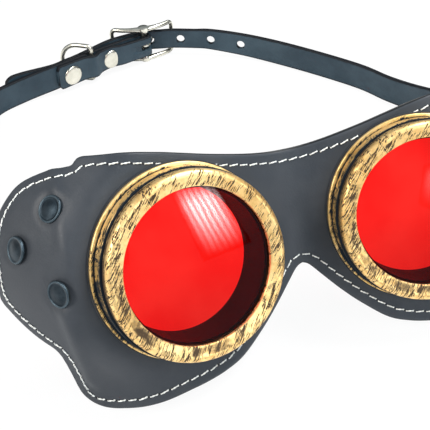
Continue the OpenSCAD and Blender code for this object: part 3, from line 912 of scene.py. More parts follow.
class Placer:
    """Geometry Nodes tree that puts a prototype on every point of a mesh."""

    INPUTS = (("Prototype", "NodeSocketObject"), ("Slant", "NodeSocketFloat"),
              ("Jitter", "NodeSocketFloat"), ("Size Change", "NodeSocketFloat"),
              ("Seed", "NodeSocketInt"), ("Material", "NodeSocketMaterial"))

    def __init__(self) -> None:
        """Builds the tree."""
        group = bpy.data.node_groups.new("placed_pieces", "GeometryNodeTree")
        face = group.interface
        face.new_socket("Geometry", in_out="INPUT", socket_type="NodeSocketGeometry")
        self.keys = {n: face.new_socket(n, in_out="INPUT", socket_type=k).identifier
                     for n, k in self.INPUTS}
        face.new_socket("Geometry", in_out="OUTPUT", socket_type="NodeSocketGeometry")
        t = Tree(group)
        given = t.node("NodeGroupInput").outputs
        along, away = [t.get("GeometryNodeInputNamedAttribute", {"Name": name},
                             data_type="FLOAT_VECTOR") for name in ("along", "away")]
        base = t.get("FunctionNodeAxesToRotation", {0: away, 1: along},
                     primary_axis="Z", secondary_axis="X")
        chance = t.get("FunctionNodeRandomValue",
                       {"Min_001": -1.0, "Max_001": 1.0, "Seed": given["Seed"]}, "Value_001",
                       data_type="FLOAT")
        swing = t.get("ShaderNodeMath", {0: chance, 1: given["Jitter"], 2: given["Slant"]},
                      operation="MULTIPLY_ADD")
        spin = t.get("FunctionNodeAxisAngleToRotation", {"Axis": tuple(Z_AXIS), "Angle": swing})
        both = t.get("FunctionNodeRotateRotation", {0: base, 1: spin}, rotation_space="LOCAL")
        size = t.get("ShaderNodeMath", {0: chance, 1: given["Size Change"], 2: 1.0},
                     operation="MULTIPLY_ADD")
        model = t.get("GeometryNodeObjectInfo", {"Object": given["Prototype"]}, "Geometry")
        copies = t.get("GeometryNodeInstanceOnPoints",
                       {"Points": given["Geometry"], "Instance": model, "Rotation": both,
                        "Scale": size})
        real = t.get("GeometryNodeRealizeInstances", {"Geometry": copies})
        paint = t.get("GeometryNodeSetMaterial",
                      {"Geometry": real, "Material": given["Material"]})
        t.node("NodeGroupOutput", {"Geometry": paint})
        self.group = group

    def place(self, name: str, frames: Sequence[Array], prototype: bpy.types.Object,
              material: bpy.types.Material, seed: int, slant: float = 0.0,
              jitter: float = 0.0, change: float = 0.0) -> bpy.types.Object:
        """Puts the prototype on points and returns the finished mesh object.

        Args:
            name: Name of the piece.
            frames: Places in millimetres, then the directions of the prototype's
                X and Z at each place.
            prototype: Object whose mesh is repeated.
            material: Finish of the result.
            seed: Seed of the chance.
            slant: Turn about Z in radians.
            jitter: Largest chance turn in radians.
            change: Largest chance change of size.

        Returns:
            The object, its mesh made plain.
        """
        piece = Piece()
        points, along, away = frames
        piece.add(points, [], along=along, away=away)
        obj = piece.build(name, turn_out=False)
        mod = obj.modifiers.new("placed", "NODES")
        mod.node_group = self.group
        values = {"Prototype": prototype, "Slant": slant, "Jitter": jitter,
                  "Size Change": change, "Seed": seed, "Material": material}
        for key, value in values.items():
            mod[self.keys[key]] = value
        bpy.context.view_layer.update()
        settle(obj)
        for extra in ("along", "away"):
            layer = obj.data.attributes.get(extra)
            if layer is not None:
                obj.data.attributes.remove(layer)
        return obj


def thread_prototype() -> bpy.types.Object:
    """One stitch of two twisted plies, bent down into the leather at its ends.

    Returns:
        The object, which lies along X.
    """
    length, radius = 3.0, 0.225
    twist, dip_from, dip_depth = 3.6, 0.72, 0.62
    piece = Piece()
    u = np.linspace(-1, 1, 15)
    a = ring(7)
    dip = dip_depth * np.clip((np.abs(u) - dip_from) / (1 - dip_from), 0, 1) ** 1.6
    thick = radius * 0.62 * np.sqrt(np.clip(1 - np.abs(u) ** 8 * 0.6, 0.1, 1))
    for ply in (0, 1):
        turn = u * twist + ply * math.pi
        off = radius * 0.48
        mid = np.stack([u * length / 2, off * np.cos(turn),
                        radius * 0.85 - dip + off * np.sin(turn)], -1)
        round_it = np.stack([np.zeros((len(u), len(a))), thick[:, None] * np.cos(a),
                             thick[:, None] * np.sin(a)], -1)
        piece.add(mid[:, None, :] + round_it, grid_faces(len(u), len(a), True, True))
    return piece.build("stitch_prototype", 80)


def dent_prototype() -> bpy.types.Object:
    """Needle hole: a small dark oval dent that lies on the leather; its dark colour is painted
    shade of the hole.

    Returns:
        The object, which lies along X.
    """
    radius, long, narrow = 0.3, 1.15, 0.8
    rows = [(0.02, 0.0), (0.6, 0.025), (1.0, 0.035), (1.15, -0.02)]
    a = ring(12)
    points = [[(r * radius * math.cos(t) * long, r * radius * math.sin(t) * narrow, h)
               for t in a] for r, h in rows]
    piece = Piece()
    piece.add(np.array(points), grid_faces(len(rows), len(a), True, True))
    return piece.build("dent_prototype", 60)


# Turned work


@dataclass
class Lathe:
    """Turned piece: a closed profile of radius, height and wear, round an axis."""

    origin: Array
    axis: Array
    up: Array
    steps: int = 160

    def add(self, piece: Piece, profile: Sequence[Sequence[float]],
            keep_local: bool = True) -> None:
        """Adds the turned profile to a piece.

        Args:
            piece: Piece under way.
            profile: Rows of radius, height and wear. A profile that starts on the
                axis is closed by two discs, and another one by its last row.
            keep_local: Whether the place from the origin is stored for the finish.
        """
        p = np.asarray(profile, float)
        z, y = unit(self.axis), unit(self.up)
        x = np.cross(y, z)
        a = ring(self.steps)
        r = p[:, 0][:, None]
        local = np.stack([r * np.cos(a), r * np.sin(a),
                          np.broadcast_to(p[:, 1][:, None], (len(p), self.steps))], -1)
        world = self.origin + local[..., :1] * x + local[..., 1:2] * y + local[..., 2:] * z
        hollow = p[0, 0] > 0.05
        values = {"local": local.reshape(-1, 3)} if keep_local else {}
        piece.add(world, grid_faces(len(p), self.steps, True, not hollow, hollow),
                  **values, wear=np.repeat(p[:, 2], self.steps))


def cap_prototype(profile: Sequence[Sequence[float]], steps: int,
                  smooth: float) -> bpy.types.Object:
    """Rivet cap, turned round Z.

    Args:
        profile: Rows of radius, height and wear.
        steps: Points round the cap.
        smooth: Angle up to which it is shaded smooth.

    Returns:
        The object.
    """
    piece = Piece()
    Lathe(np.zeros(3), Z_AXIS, Y_AXIS, steps).add(piece, profile)
    return piece.build("cap_prototype", smooth)


def arc(cx: float, cy: float, r: float, start: float, stop: float, n: int,
        wear: float) -> list:
    """Points of a rounded corner, angles in degrees.

    Args:
        cx: Radius of the corner's middle.
        cy: Height of its middle.
        r: Radius of the corner.
        start: First angle.
        stop: Last angle.
        n: Pieces.
        wear: Wear of all its points.

    Returns:
        Rows of radius, height and wear.
    """
    return [(cx + r * math.cos(math.radians(start + (stop - start) * i / n)),
             cy + r * math.sin(math.radians(start + (stop - start) * i / n)), wear)
            for i in range(n + 1)]


@dataclass
class EyeCup:
    """Brass work of one side: cup, screw ring and the black ring under the cup.

    Profiles are rows of radius, height from the cup's front and wear.
    """

    side: Side
    surface: MaskSurface
    finishes: Finishes

    # Screw ring: the end behind its thread, then the head's beaded shoulder and face
    thread_end: tuple = ((24.95, -8.0, 0.3), (25.8, -8.0, 0.3), (25.95, -7.85, 0.3))
    head: tuple = (
        (25.95, -3.62, 0.1), (25.95, -3.5, 0.1), (27.6, -3.5, 0.1), (27.82, -3.42, 0.3),
        (27.9, -3.2, 0.3), (27.9, -2.5, 0.26), (27.86, -2.3, 0.1), (27.7, -2.16, -0.1),
        (27.7, -2.02, -0.1), (27.9, -1.86, 0.4), (27.9, -1.4, 0.62),
        *arc(26.3, -0.8, 1.6, 0, 90, 10, 0.86), (25.95, 0.76, 0.74), (25.6, 0.66, 0.6),
        (25.2, 0.56, 0.58), (24.7, 0.43, 0.58), (24.2, 0.3, 0.57), (23.7, 0.17, 0.6),
        (23.3, 0.07, 0.72), (23.08, -0.02, 0.95), (23.0, -0.14, 0.9), (23.0, -0.6, 0.7),
        (23.0, -1.2, 0.4), (24.95, -1.2, 0.2))
    # Cup: spigot, rear flange, hollow band, front rim and the threaded bore
    cup: tuple = (
        (22.4, -16.5, 0.02), (23.9, -16.5, 0.2), (24.2, -16.2, 0.2), (24.2, -10.5, 0.1),
        (29.35, -10.5, 0.2), (29.55, -10.38, 0.7), (29.6, -10.2, 0.85),
        *arc(29.2, -9.6, 0.4, 0, 90, 5, 0.85), (28.5, -9.2, 0.2), (28.0, -9.18, -0.1),
        (27.95, -9.0, -0.2), (27.95, -8.85, -0.1), (28.38, -8.6, 0.34), (28.42, -8.5, 0.34),
        (28.26, -8.1, 0.5), (28.21, -7.6, 0.5), (28.17, -7.0, 0.47), (28.15, -6.4, 0.45),
        (28.18, -5.8, 0.45), (28.24, -5.2, 0.48), (28.4, -4.78, 0.55), (28.42, -4.66, 0.05),
        (28.45, -4.6, 0.2), (28.55, -4.48, 0.5), (28.55, -4.05, 0.42), (28.45, -3.92, 0.2),
        (28.2, -3.9, -0.2), (26.05, -3.9, -0.2), (26.05, -8.5, -0.2), (24.6, -8.5, -0.2),
        (24.6, -3.3, -0.2), (22.4, -3.3, -0.2))
    # Black ring between the cup and the leather
    washer: tuple = ((24.3, -11.2, 0), (29.85, -11.2, 0), (30.0, -11.05, 0), (30.0, -10.62, 0),
                     (29.86, -10.5, 0), (24.3, -10.5, 0))

    def ring_profile(self) -> list:
        """Screw ring with five turns of its thread.

        Returns:
            Rows of radius, height and wear.
        """
        thread = []
        for k in range(5):
            z = -7.4 + k * 0.8
            thread += [(25.92, z, 0.4), (25.62, z + 0.4, 0.1)]
        return [*self.thread_end, *thread, *self.head]

    def build(self) -> None:
        """Makes the three turned pieces and registers them."""
        side = self.side.value
        for node, profile, slot, body in (
                ("bezel", self.ring_profile(), "ring_brass", f"screw_ring_{side}"),
                ("cup", self.cup, "cup_brass", "mask"),
                ("base_washer", self.washer, "black_rubber", "mask")):
            piece = Piece()
            self.surface.cup_lathe(self.side).add(piece, profile)
            obj = piece.build(f"{node}_fine_{side}", 42)
            self.finishes.dress(obj, slot, body, f"{node}_{side}")


# Leather mask


def both_halves(half: Array) -> Array:
    """Values of the right half's rows, with the left half's put before them."""
    return np.concatenate([half[1:][::-1], half])


def middles(corners: Array) -> Array:
    """Mean of the four corners of each cell of a grid."""
    return (corners[:-1, :-1] + corners[1:, :-1] + corners[:-1, 1:] + corners[1:, 1:]) / 4


def soften(line: Array, times: int) -> Array:
    """Closed line whose points are drawn towards their neighbours some times."""
    for _ in range(times):
        line = (np.roll(line, 1, 0) + 2 * line + np.roll(line, -1, 0)) / 4
    return line


def sheet_faces(keep: Array) -> list:
    """Faces of a closed sheet: the front, the back and the walls of every edge.

    Args:
        keep: Whether each cell of the grid is leather.

    Returns:
        Faces over the front's points, followed by the back's.
    """
    cols = keep.shape[1] + 1
    back = (keep.shape[0] + 1) * cols
    faces = []
    edges: dict = {}
    for i, j in zip(*np.nonzero(keep)):
        at = int(i) * cols + int(j)
        q = [at, at + 1, at + cols + 1, at + cols]
        faces += [q, [back + c for c in reversed(q)]]
        for a, b in zip(q, q[1:] + q[:1]):
            if (b, a) in edges:
                del edges[(b, a)]
            else:
                edges[(a, b)] = True
    return faces + [[b, a, back + a, back + b] for a, b in edges]


@dataclass
class MaskLeather:
    """The stitched leather of the mask: outer layer, lining, thread and rivets."""

    surface: MaskSurface
    finishes: Finishes
    placer: Placer

    # Places of a wing's rivets, laid out, and how far each cap tilts
    rivets: tuple = ((36.5, 24.9), (51.3, 14.7), (38.5, -0.1))
    tilts: tuple = (0.12, 0.22, 0.3)
    # Distance of the seam from the edge, and of one stitch from the next
    inset: float = 3.3
    pitch: float = 3.4
    eye_hole_r: float = 25.2
    # Depth, radius and fade of the dent under each rivet
    dent: tuple = (0.3, 4.1, 1.7)
    # Height, radius and width of the rise round the dent
    rise: tuple = (0.06, 6.6, 1.2)
    # Depths at which the thread lies on each face
    thread_front: float = 0.02
    thread_back: float = 2.88
    # Radius, height and wear of a rivet cap
    cap: tuple = ((0.02, -0.1, 0), (3.9, -0.1, 0.3), (4.08, 0.05, 0.6), (4.1, 0.3, 0.75),
                  *arc(3.72, 0.62, 0.38, 0, 125, 8, 0.92), (3.3, 0.8, 0.2),
                  (2.9, 0.78, 0.05), (2.0, 0.98, 0.1), (1.0, 1.12, 0.12), (0.02, 1.16, 0.14))

    def __post_init__(self) -> None:
        """Lays out the outline."""
        self.outline = Outline(self.surface)

    def relief(self, s: Array, z: Array) -> Array:
        """How far the front face is pressed in, in millimetres.

        Args:
            s: Distances out from the middle of the eye.
            z: Heights.

        Returns:
            The depths, negative where the leather bulges.
        """
        deep = np.zeros_like(s)
        press, press_r, fade = self.dent
        rise, rise_r, rise_w = self.rise
        for rs, rz in self.rivets:
            d = np.hypot(s - rs, z - rz)
            deep += press * (1 - ease((d - press_r) / fade)) - rise * bell(d, rise_r, rise_w)
        # The long fold of the lower wing, the soft one above it, a slow wave over the
        # whole leather, and the rise round the cup's ring
        low_fold = bell(s, 37.6 + 0.09 * (z + 8.0), 2.6)
        deep -= 1.15 * low_fold * ease((z + 40.0) / 8.0) * (1 - ease((z + 8.0) / 9.0))
        deep -= 0.55 * bell(s, 34.0, 2.2) * ease((z + 5.0) / 20.0)
        deep += 0.1 * np.sin(s * 0.21 + 1.0) * np.sin(z * 0.17 + s * 0.05)
        d = np.hypot(s, z)
        deep -= 0.1 * bell(d, 33.5, 2.2)
        return deep * (d > 29.0)

    def grid(self, step: float, rows: int) -> tuple[Array, Array]:
        """Laid-out places of the right half, with finer columns at the wing's tip.

        Args:
            step: Distance between columns.
            rows: Points in each column.

        Returns:
            Distances out and heights.
        """
        fine = self.outline.fine(10)
        start, end, tip = self.surface.middle_s, fine[-1, 0], 60.0
        s = np.concatenate([np.linspace(start, tip, int((end - start) / step)),
                            np.linspace(tip + 0.4, end - 0.02, 12)])
        fine = fine[np.argsort(fine[:, 0])]
        top = np.interp(s, fine[:, 0], fine[:, 1])
        low = np.interp(s, fine[:, 0], fine[:, 2])
        v = np.linspace(0, 1, rows)
        v = np.concatenate([[0, 0.006], v[1:-1], [0.994, 1]])
        z = low[:, None] + (top - low)[:, None] * v
        return np.broadcast_to(s[:, None], z.shape), z

    def layer(self, layer: Layer, name: str, step: float, rows: int) -> bpy.types.Object:
        """Builds one layer as a closed sheet with an eye hole on each side.

        Args:
            layer: Which of the two.
            name: Name of the piece.
            step: Distance between columns of points.
            rows: Points in each column.

        Returns:
            The object.
        """
        front, back = layer.value
        s, z = self.grid(step, rows)
        relief = self.relief(s, z) if layer is Layer.OUTER else 0.0
        edge = np.minimum(np.abs(z - z[:, :1]), np.abs(z - z[:, -1:]))
        edge = np.minimum(edge, np.maximum(s[-1:, :] - s, 0))
        soft = 0.42 * (1 - ease(edge / 0.8)) ** 2
        points = []
        for depth in (front + relief + soft, back - soft * 0.7):
            right = self.surface.skin(s, z, depth)
            left = right[1:][::-1] * MIRROR
            points.append(np.concatenate([left, right]).reshape(-1, 3))
        away = np.hypot(middles(both_halves(s)), middles(both_halves(z)))
        rim = (1 - ease(both_halves(edge) / 0.75)).ravel()
        piece = Piece()
        piece.add(np.concatenate(points), sheet_faces(away > self.eye_hole_r),
                  rim=np.concatenate([rim, rim]))
        obj = piece.build(name, 55)
        bm = bmesh.new()
        bm.from_mesh(obj.data)
        bmesh.ops.delete(bm, geom=[v for v in bm.verts if not v.link_faces], context="VERTS")
        bm.to_mesh(obj.data)
        bm.free()
        return obj

    def seam(self) -> Array:
        """Closed line of the stitches, as distance from the middle of the nose and z.

        Returns:
            The points, of two numbers each.
        """
        loop = self.outline.loop()
        closed = np.concatenate([loop, loop[:1]])
        even = at_lengths(closed, np.arange(0, lengths(closed)[-1], 0.5))
        t = unit(np.roll(even, -3, 0) - np.roll(even, 3, 0))
        inner = even + self.inset * np.stack([t[:, 1], -t[:, 0]], -1)
        clear = np.array([np.min(np.hypot(*(even - p).T)) for p in inner])
        inner = soften(inner[clear > self.inset - 0.12], 80)
        gap = inner[:, None, :] - even[None, :, :]
        far = np.linalg.norm(gap, axis=-1)
        near = far.argmin(axis=1)
        pick = np.arange(len(inner))
        push = np.maximum(self.inset - far[pick, near], 0)
        return soften(inner + unit(gap[pick, near]) * push[:, None], 14)

    def on_seam(self, depth: float) -> tuple[Array, Array, Array]:
        """Places, directions and normals of the stitches at a depth.

        Args:
            depth: Depth behind the front face.

        Returns:
            The places, directions and normals.
        """
        line = self.seam()
        closed = np.concatenate([line, line[:1]])
        total = lengths(closed)[-1]
        count = int(round(total / self.pitch))
        where = (np.arange(count) + 0.5) * total / count
        points = self.row(at_lengths(closed, where), depth)
        ahead = at_lengths(closed, np.minimum(where + 0.6, total - 0.01))
        back = at_lengths(closed, np.maximum(where - 0.6, 0.01))
        along = unit(self.row(ahead, depth) - self.row(back, depth))
        away = unit(points - self.row(at_lengths(closed, where), depth + 1.0))
        return points, along, away

    def row(self, q: Array, depth: float) -> Array:
        """Place in the frame of a laid-out point of either half.

        Args:
            q: Rows of distance from the middle of the nose and z.
            depth: Depth behind the front face.

        Returns:
            The places.
        """
        s = self.surface.middle_s + np.abs(q[:, 0])
        extra = self.relief(s, q[:, 1]) if depth < 1.0 else 0.0
        p = self.surface.skin(s, q[:, 1], depth + extra)
        p[:, 0] *= np.where(q[:, 0] < 0, -1.0, 1.0)
        return p

    def build_stitches(self) -> None:
        """Sews the front and the back of the mask."""
        thread, dent = thread_prototype(), dent_prototype()
        front, back = self.on_seam(self.thread_front), self.on_seam(self.thread_back)
        points, along, away = self.on_seam(0.0)
        holes = (points + along * self.pitch / 2, along, away)
        # The needle holes are dark ovals between the stitches: their dark colour is painted shade
        # of the holes
        for name, frames, proto, slot, slant, jitter in (
                ("stitches_front", front, thread, "thread", 0.13, 0.07),
                ("stitches_back", (back[0], back[1], -back[2]), thread, "thread", -0.13, 0.07),
                ("needle_holes", holes, dent, "needle_hole_shade", 0.0, 0.0)):
            obj = self.placer.place(name, frames, proto, self.finishes.made[slot], 11, slant,
                                    jitter, 0.05)
            register(obj, "mask")
        for proto in (thread, dent):
            bpy.data.objects.remove(proto)

    def build_rivets(self) -> None:
        """Caps of the wing rivets: a raised rim round a shallow dish."""
        cap = cap_prototype(self.cap, 56, 60)
        s, z = np.array(self.rivets).T
        for side in Side:
            points = self.surface.skin(s, z, np.full(3, 0.4), side)
            away = unit(self.surface.skin(s, z, np.full(3, -1.0), side) - points)
            tilt = np.array(self.tilts)[:, None] * np.array([side.sign, 0.25, -0.1])
            away = unit(away + tilt)
            along = unit(np.cross(away, np.array([0.0, 0.3, 1.0])))
            obj = self.placer.place(f"wing_rivets_{side.value}", (points, along, away), cap,
                                    self.finishes.made["dark_steel"], 3, jitter=0.4)
            register(obj, "mask", f"wing_rivet_caps_{side.value}")
        bpy.data.objects.remove(cap)

    def build(self) -> None:
        """Makes all of it."""
        for layer, name, step, rows, slot, node in (
                (Layer.OUTER, "mask_outer", 0.8, 84, "mask_leather", "mask_leather"),
                (Layer.LINING, "mask_inner", 1.3, 48, "lining_leather", "mask_lining")):
            self.finishes.dress(self.layer(layer, name, step, rows), slot, "mask", node)
        self.build_stitches()
        self.build_rivets()


# Strap


@dataclass
class StrapRoute:
    """Plan of the closed strap: routes from each wing, the fold and the tail.

    Points of the loop are X, Y and the height of the strap's lower edge. Points
    near the buckle are X and Y from the buckle's bar.
    """

    surface: MaskSurface
    side_rests: tuple = ((98.8, 53.5, 25), (102.8, 83.2, 12.2), (100.8, 109, 2.8))
    right_rests: tuple = ((95.2, 124.8, 0.2), (87, 140.8, 0.2), (68, 165.5, 0.25),
                          (48.3, 185.5, 0.9))
    left_rests: tuple = ((-96.8, 138, 0.2), (-92.4, 158, 0.15), (-84, 173.4, 0.15),
                         (-70.2, 180.8, 0.8))
    line: tuple = ((-49, -18), (-41.9, -14.8), (-34.6, -11.4), (-30.6, -9.55), (-26.6, -7.75),
                   (-20.4, -5), (-15, -3.05), (-10, -1.05), (-5, 0.7))
    # Points of the smooth line for each point given
    steps: int = 9
    # Where the strap leaves the wing, past the cup's ring
    leave: tuple = (27, 30.5)

    def __post_init__(self) -> None:
        """Works out the distances that follow from the thicknesses of strap and wire."""
        t = SIZES
        self.mid = (t.strap_front + t.strap_back) / 2
        self.fold_r = t.bar_d / 2 + 0.15 + t.strap_t / 2
        self.close = t.strap_t + 0.15
        self.ring = 2 * (t.strap_t / 2 + 0.1 + 1.1) + 0.1
        self.end_x = t.bow_r * math.sin(t.bow_a) + SIZES.corner_r * math.cos(t.bow_a)
        self.bow = t.bow_r * (1 - math.cos(t.bow_a)) + SIZES.corner_r * math.sin(t.bow_a)

    def heading(self, i: int) -> Array:
        """Direction of the buckle-side strap's line."""
        r = np.array(self.line)
        return unit(r[min(len(r) - 1, i + 1)] - r[max(0, i - 1)])

    def shifted(self, i: int, d: float) -> Array:
        """Point beside the buckle-side strap's line, d to its outer side."""
        h = self.heading(i)
        return np.array(self.line[i]) + d * np.array([-h[1], h[0]])

    def hooked(self, p: Sequence) -> Array:
        """Plan points relative to the bar, at the buckle's height.

        Args:
            p: One point or more.

        Returns:
            The places in the frame.
        """
        t = SIZES
        p = np.atleast_2d(p)
        return np.stack([p[:, 0] + t.bar_x, p[:, 1] + t.bar_y + t.stand_y,
                         np.full(len(p), t.hook_z)], -1)

    @staticmethod
    def rested(rows: Sequence, sign: float = 1.0) -> Array:
        """Middle points of the strap from a route's rows."""
        p = np.array(rows, float)
        return np.stack([p[:, 0] * sign, p[:, 1] + SIZES.stand_y,
                         p[:, 2] + SIZES.strap_w / 2], -1)

    def folded(self) -> Array:
        """The buckle-side strap past the rivets, round the bar and back.

        Returns:
            Points relative to the bar.
        """
        a = np.radians(np.linspace(110, -70, 13))
        turn = self.fold_r * np.stack([np.cos(a), np.sin(a)], -1)
        back = [(7, 2 * self.fold_r - 0.7), (6, (2 * self.fold_r + self.close) / 2 + 0.1),
                (5, self.close), (4, self.close + 0.4), (3, self.ring), (2, self.close + 0.4),
                (1, self.close), (0, self.close)]
        tail = [self.shifted(i, -d) for i, d in back]
        return np.concatenate([spline(self.line, 5), turn, spline(tail, 5)])

    def tail(self) -> list:
        """The hole-side strap inside the end bars and over the fold.

        Returns:
            Points relative to the bar.
        """
        t = SIZES
        lay = t.strap_t + 0.6
        inside = self.bow - t.wire_d / 2 - 0.7 - t.strap_t / 2
        over = self.fold_r + t.strap_t + 0.25
        hole = (4.6, over - 0.8)
        line = [(34.8, -6.4), (26, -2.2), (self.end_x, inside), (10, (inside + hole[1]) / 2),
                hole, (1.1, over - 0.02), (-1.1, over - 0.02), (-8, over - 1.3),
                (-self.end_x, inside), (-22, -0.9)]
        line += [tuple(self.shifted(i, lay)) for i in (2, 1, 0)]
        line += [(-64 - 0.25 * (lay + 0.5), -21.2 + 0.97 * (lay + 0.5)),
                 (-71.8 - 0.42 * (lay + 0.5), -24 + 0.91 * (lay + 0.5))]
        return line

    def axis_z(self, s: float) -> float:
        """Height of the strap's middle on the laid-out wing."""
        return 8.6 + (s - 31) * 0.22

    def wing_point(self, past: float) -> Array:
        """Middle of the strap on the wing, past the ring."""
        s = SIZES.washer_r + past
        return self.surface.skin(s, self.axis_z(s), self.mid)

    def wing_up(self) -> Array:
        """Direction of the strap's edge where it leaves the wing.

        Returns:
            The unit vector.
        """
        s = SIZES.washer_r + self.leave[1]
        a, half = self.axis_z(s), SIZES.strap_w / 2
        d = SIZES.strap_front
        return unit(self.surface.skin(s, a + half, d) - self.surface.skin(s, a - half, d))

    def free(self, sign: float, rests: Sequence, hooks: Sequence) -> Array:
        """Middle line of a free strap, from the wing round the loop to the buckle.

        Args:
            sign: Direction of the side along X.
            rests: The side's own route.
            hooks: Points near the buckle.

        Returns:
            The middle line.
        """
        start = [self.wing_point(past) * np.array([sign, 1.0, 1.0]) for past in self.leave]
        path = np.concatenate([start, self.rested(self.side_rests, sign), self.rested(rests),
                               self.hooked(hooks)])
        return spline(path, self.steps)[self.steps + 1:]

    def right(self) -> Array:
        """Middle line of the free strap with the holes."""
        return self.free(1.0, self.right_rests, self.tail())

    def left(self) -> Array:
        """Middle line of the free strap that folds round the bar."""
        return np.concatenate([self.free(-1.0, self.left_rests, self.line[:1]),
                               self.hooked(self.folded()[1:])])


@dataclass
class Ribbon:
    """Flat strap lofted along a line, with rounded, dark edges."""

    # Points across a section, as shares of the half width
    across: tuple = (-1.0, -0.985, -0.95, -0.9, -0.72, -0.4, 0.0, 0.4, 0.72, 0.9, 0.95,
                     0.985, 1.0)
    # Width of the rounded edge, and the strap's thickness at its very edge
    round_w: float = 0.62
    edge_share: float = 0.42

    def section(self, half: float) -> tuple[Array, Array]:
        """Offsets across and half thicknesses of a section.

        Args:
            half: Half width of the section.

        Returns:
            The offsets and the half thicknesses.
        """
        v = np.array(self.across)
        inside = round_off((1 - np.abs(v)) * half, self.round_w)
        share = self.edge_share + (1 - self.edge_share) * inside
        return v * half, SIZES.strap_t / 2 * share

    def loft(self, rings: Sequence[tuple[Array, Array]], name: str) -> bpy.types.Object:
        """Builds the strap from rings of front and back points.

        Args:
            rings: Front and back points of each section.
            name: Name of the piece.

        Returns:
            The object.
        """
        sides = np.array(self.across + self.across[::-1])
        rim = np.clip((np.abs(sides) - 0.84) / 0.1, 0, 1)
        piece = Piece()
        piece.add(np.array([[*front, *back[::-1]] for front, back in rings]),
                  grid_faces(len(rings), len(sides), True, True), rim=np.tile(rim, len(rings)))
        return piece.build(name, 60)


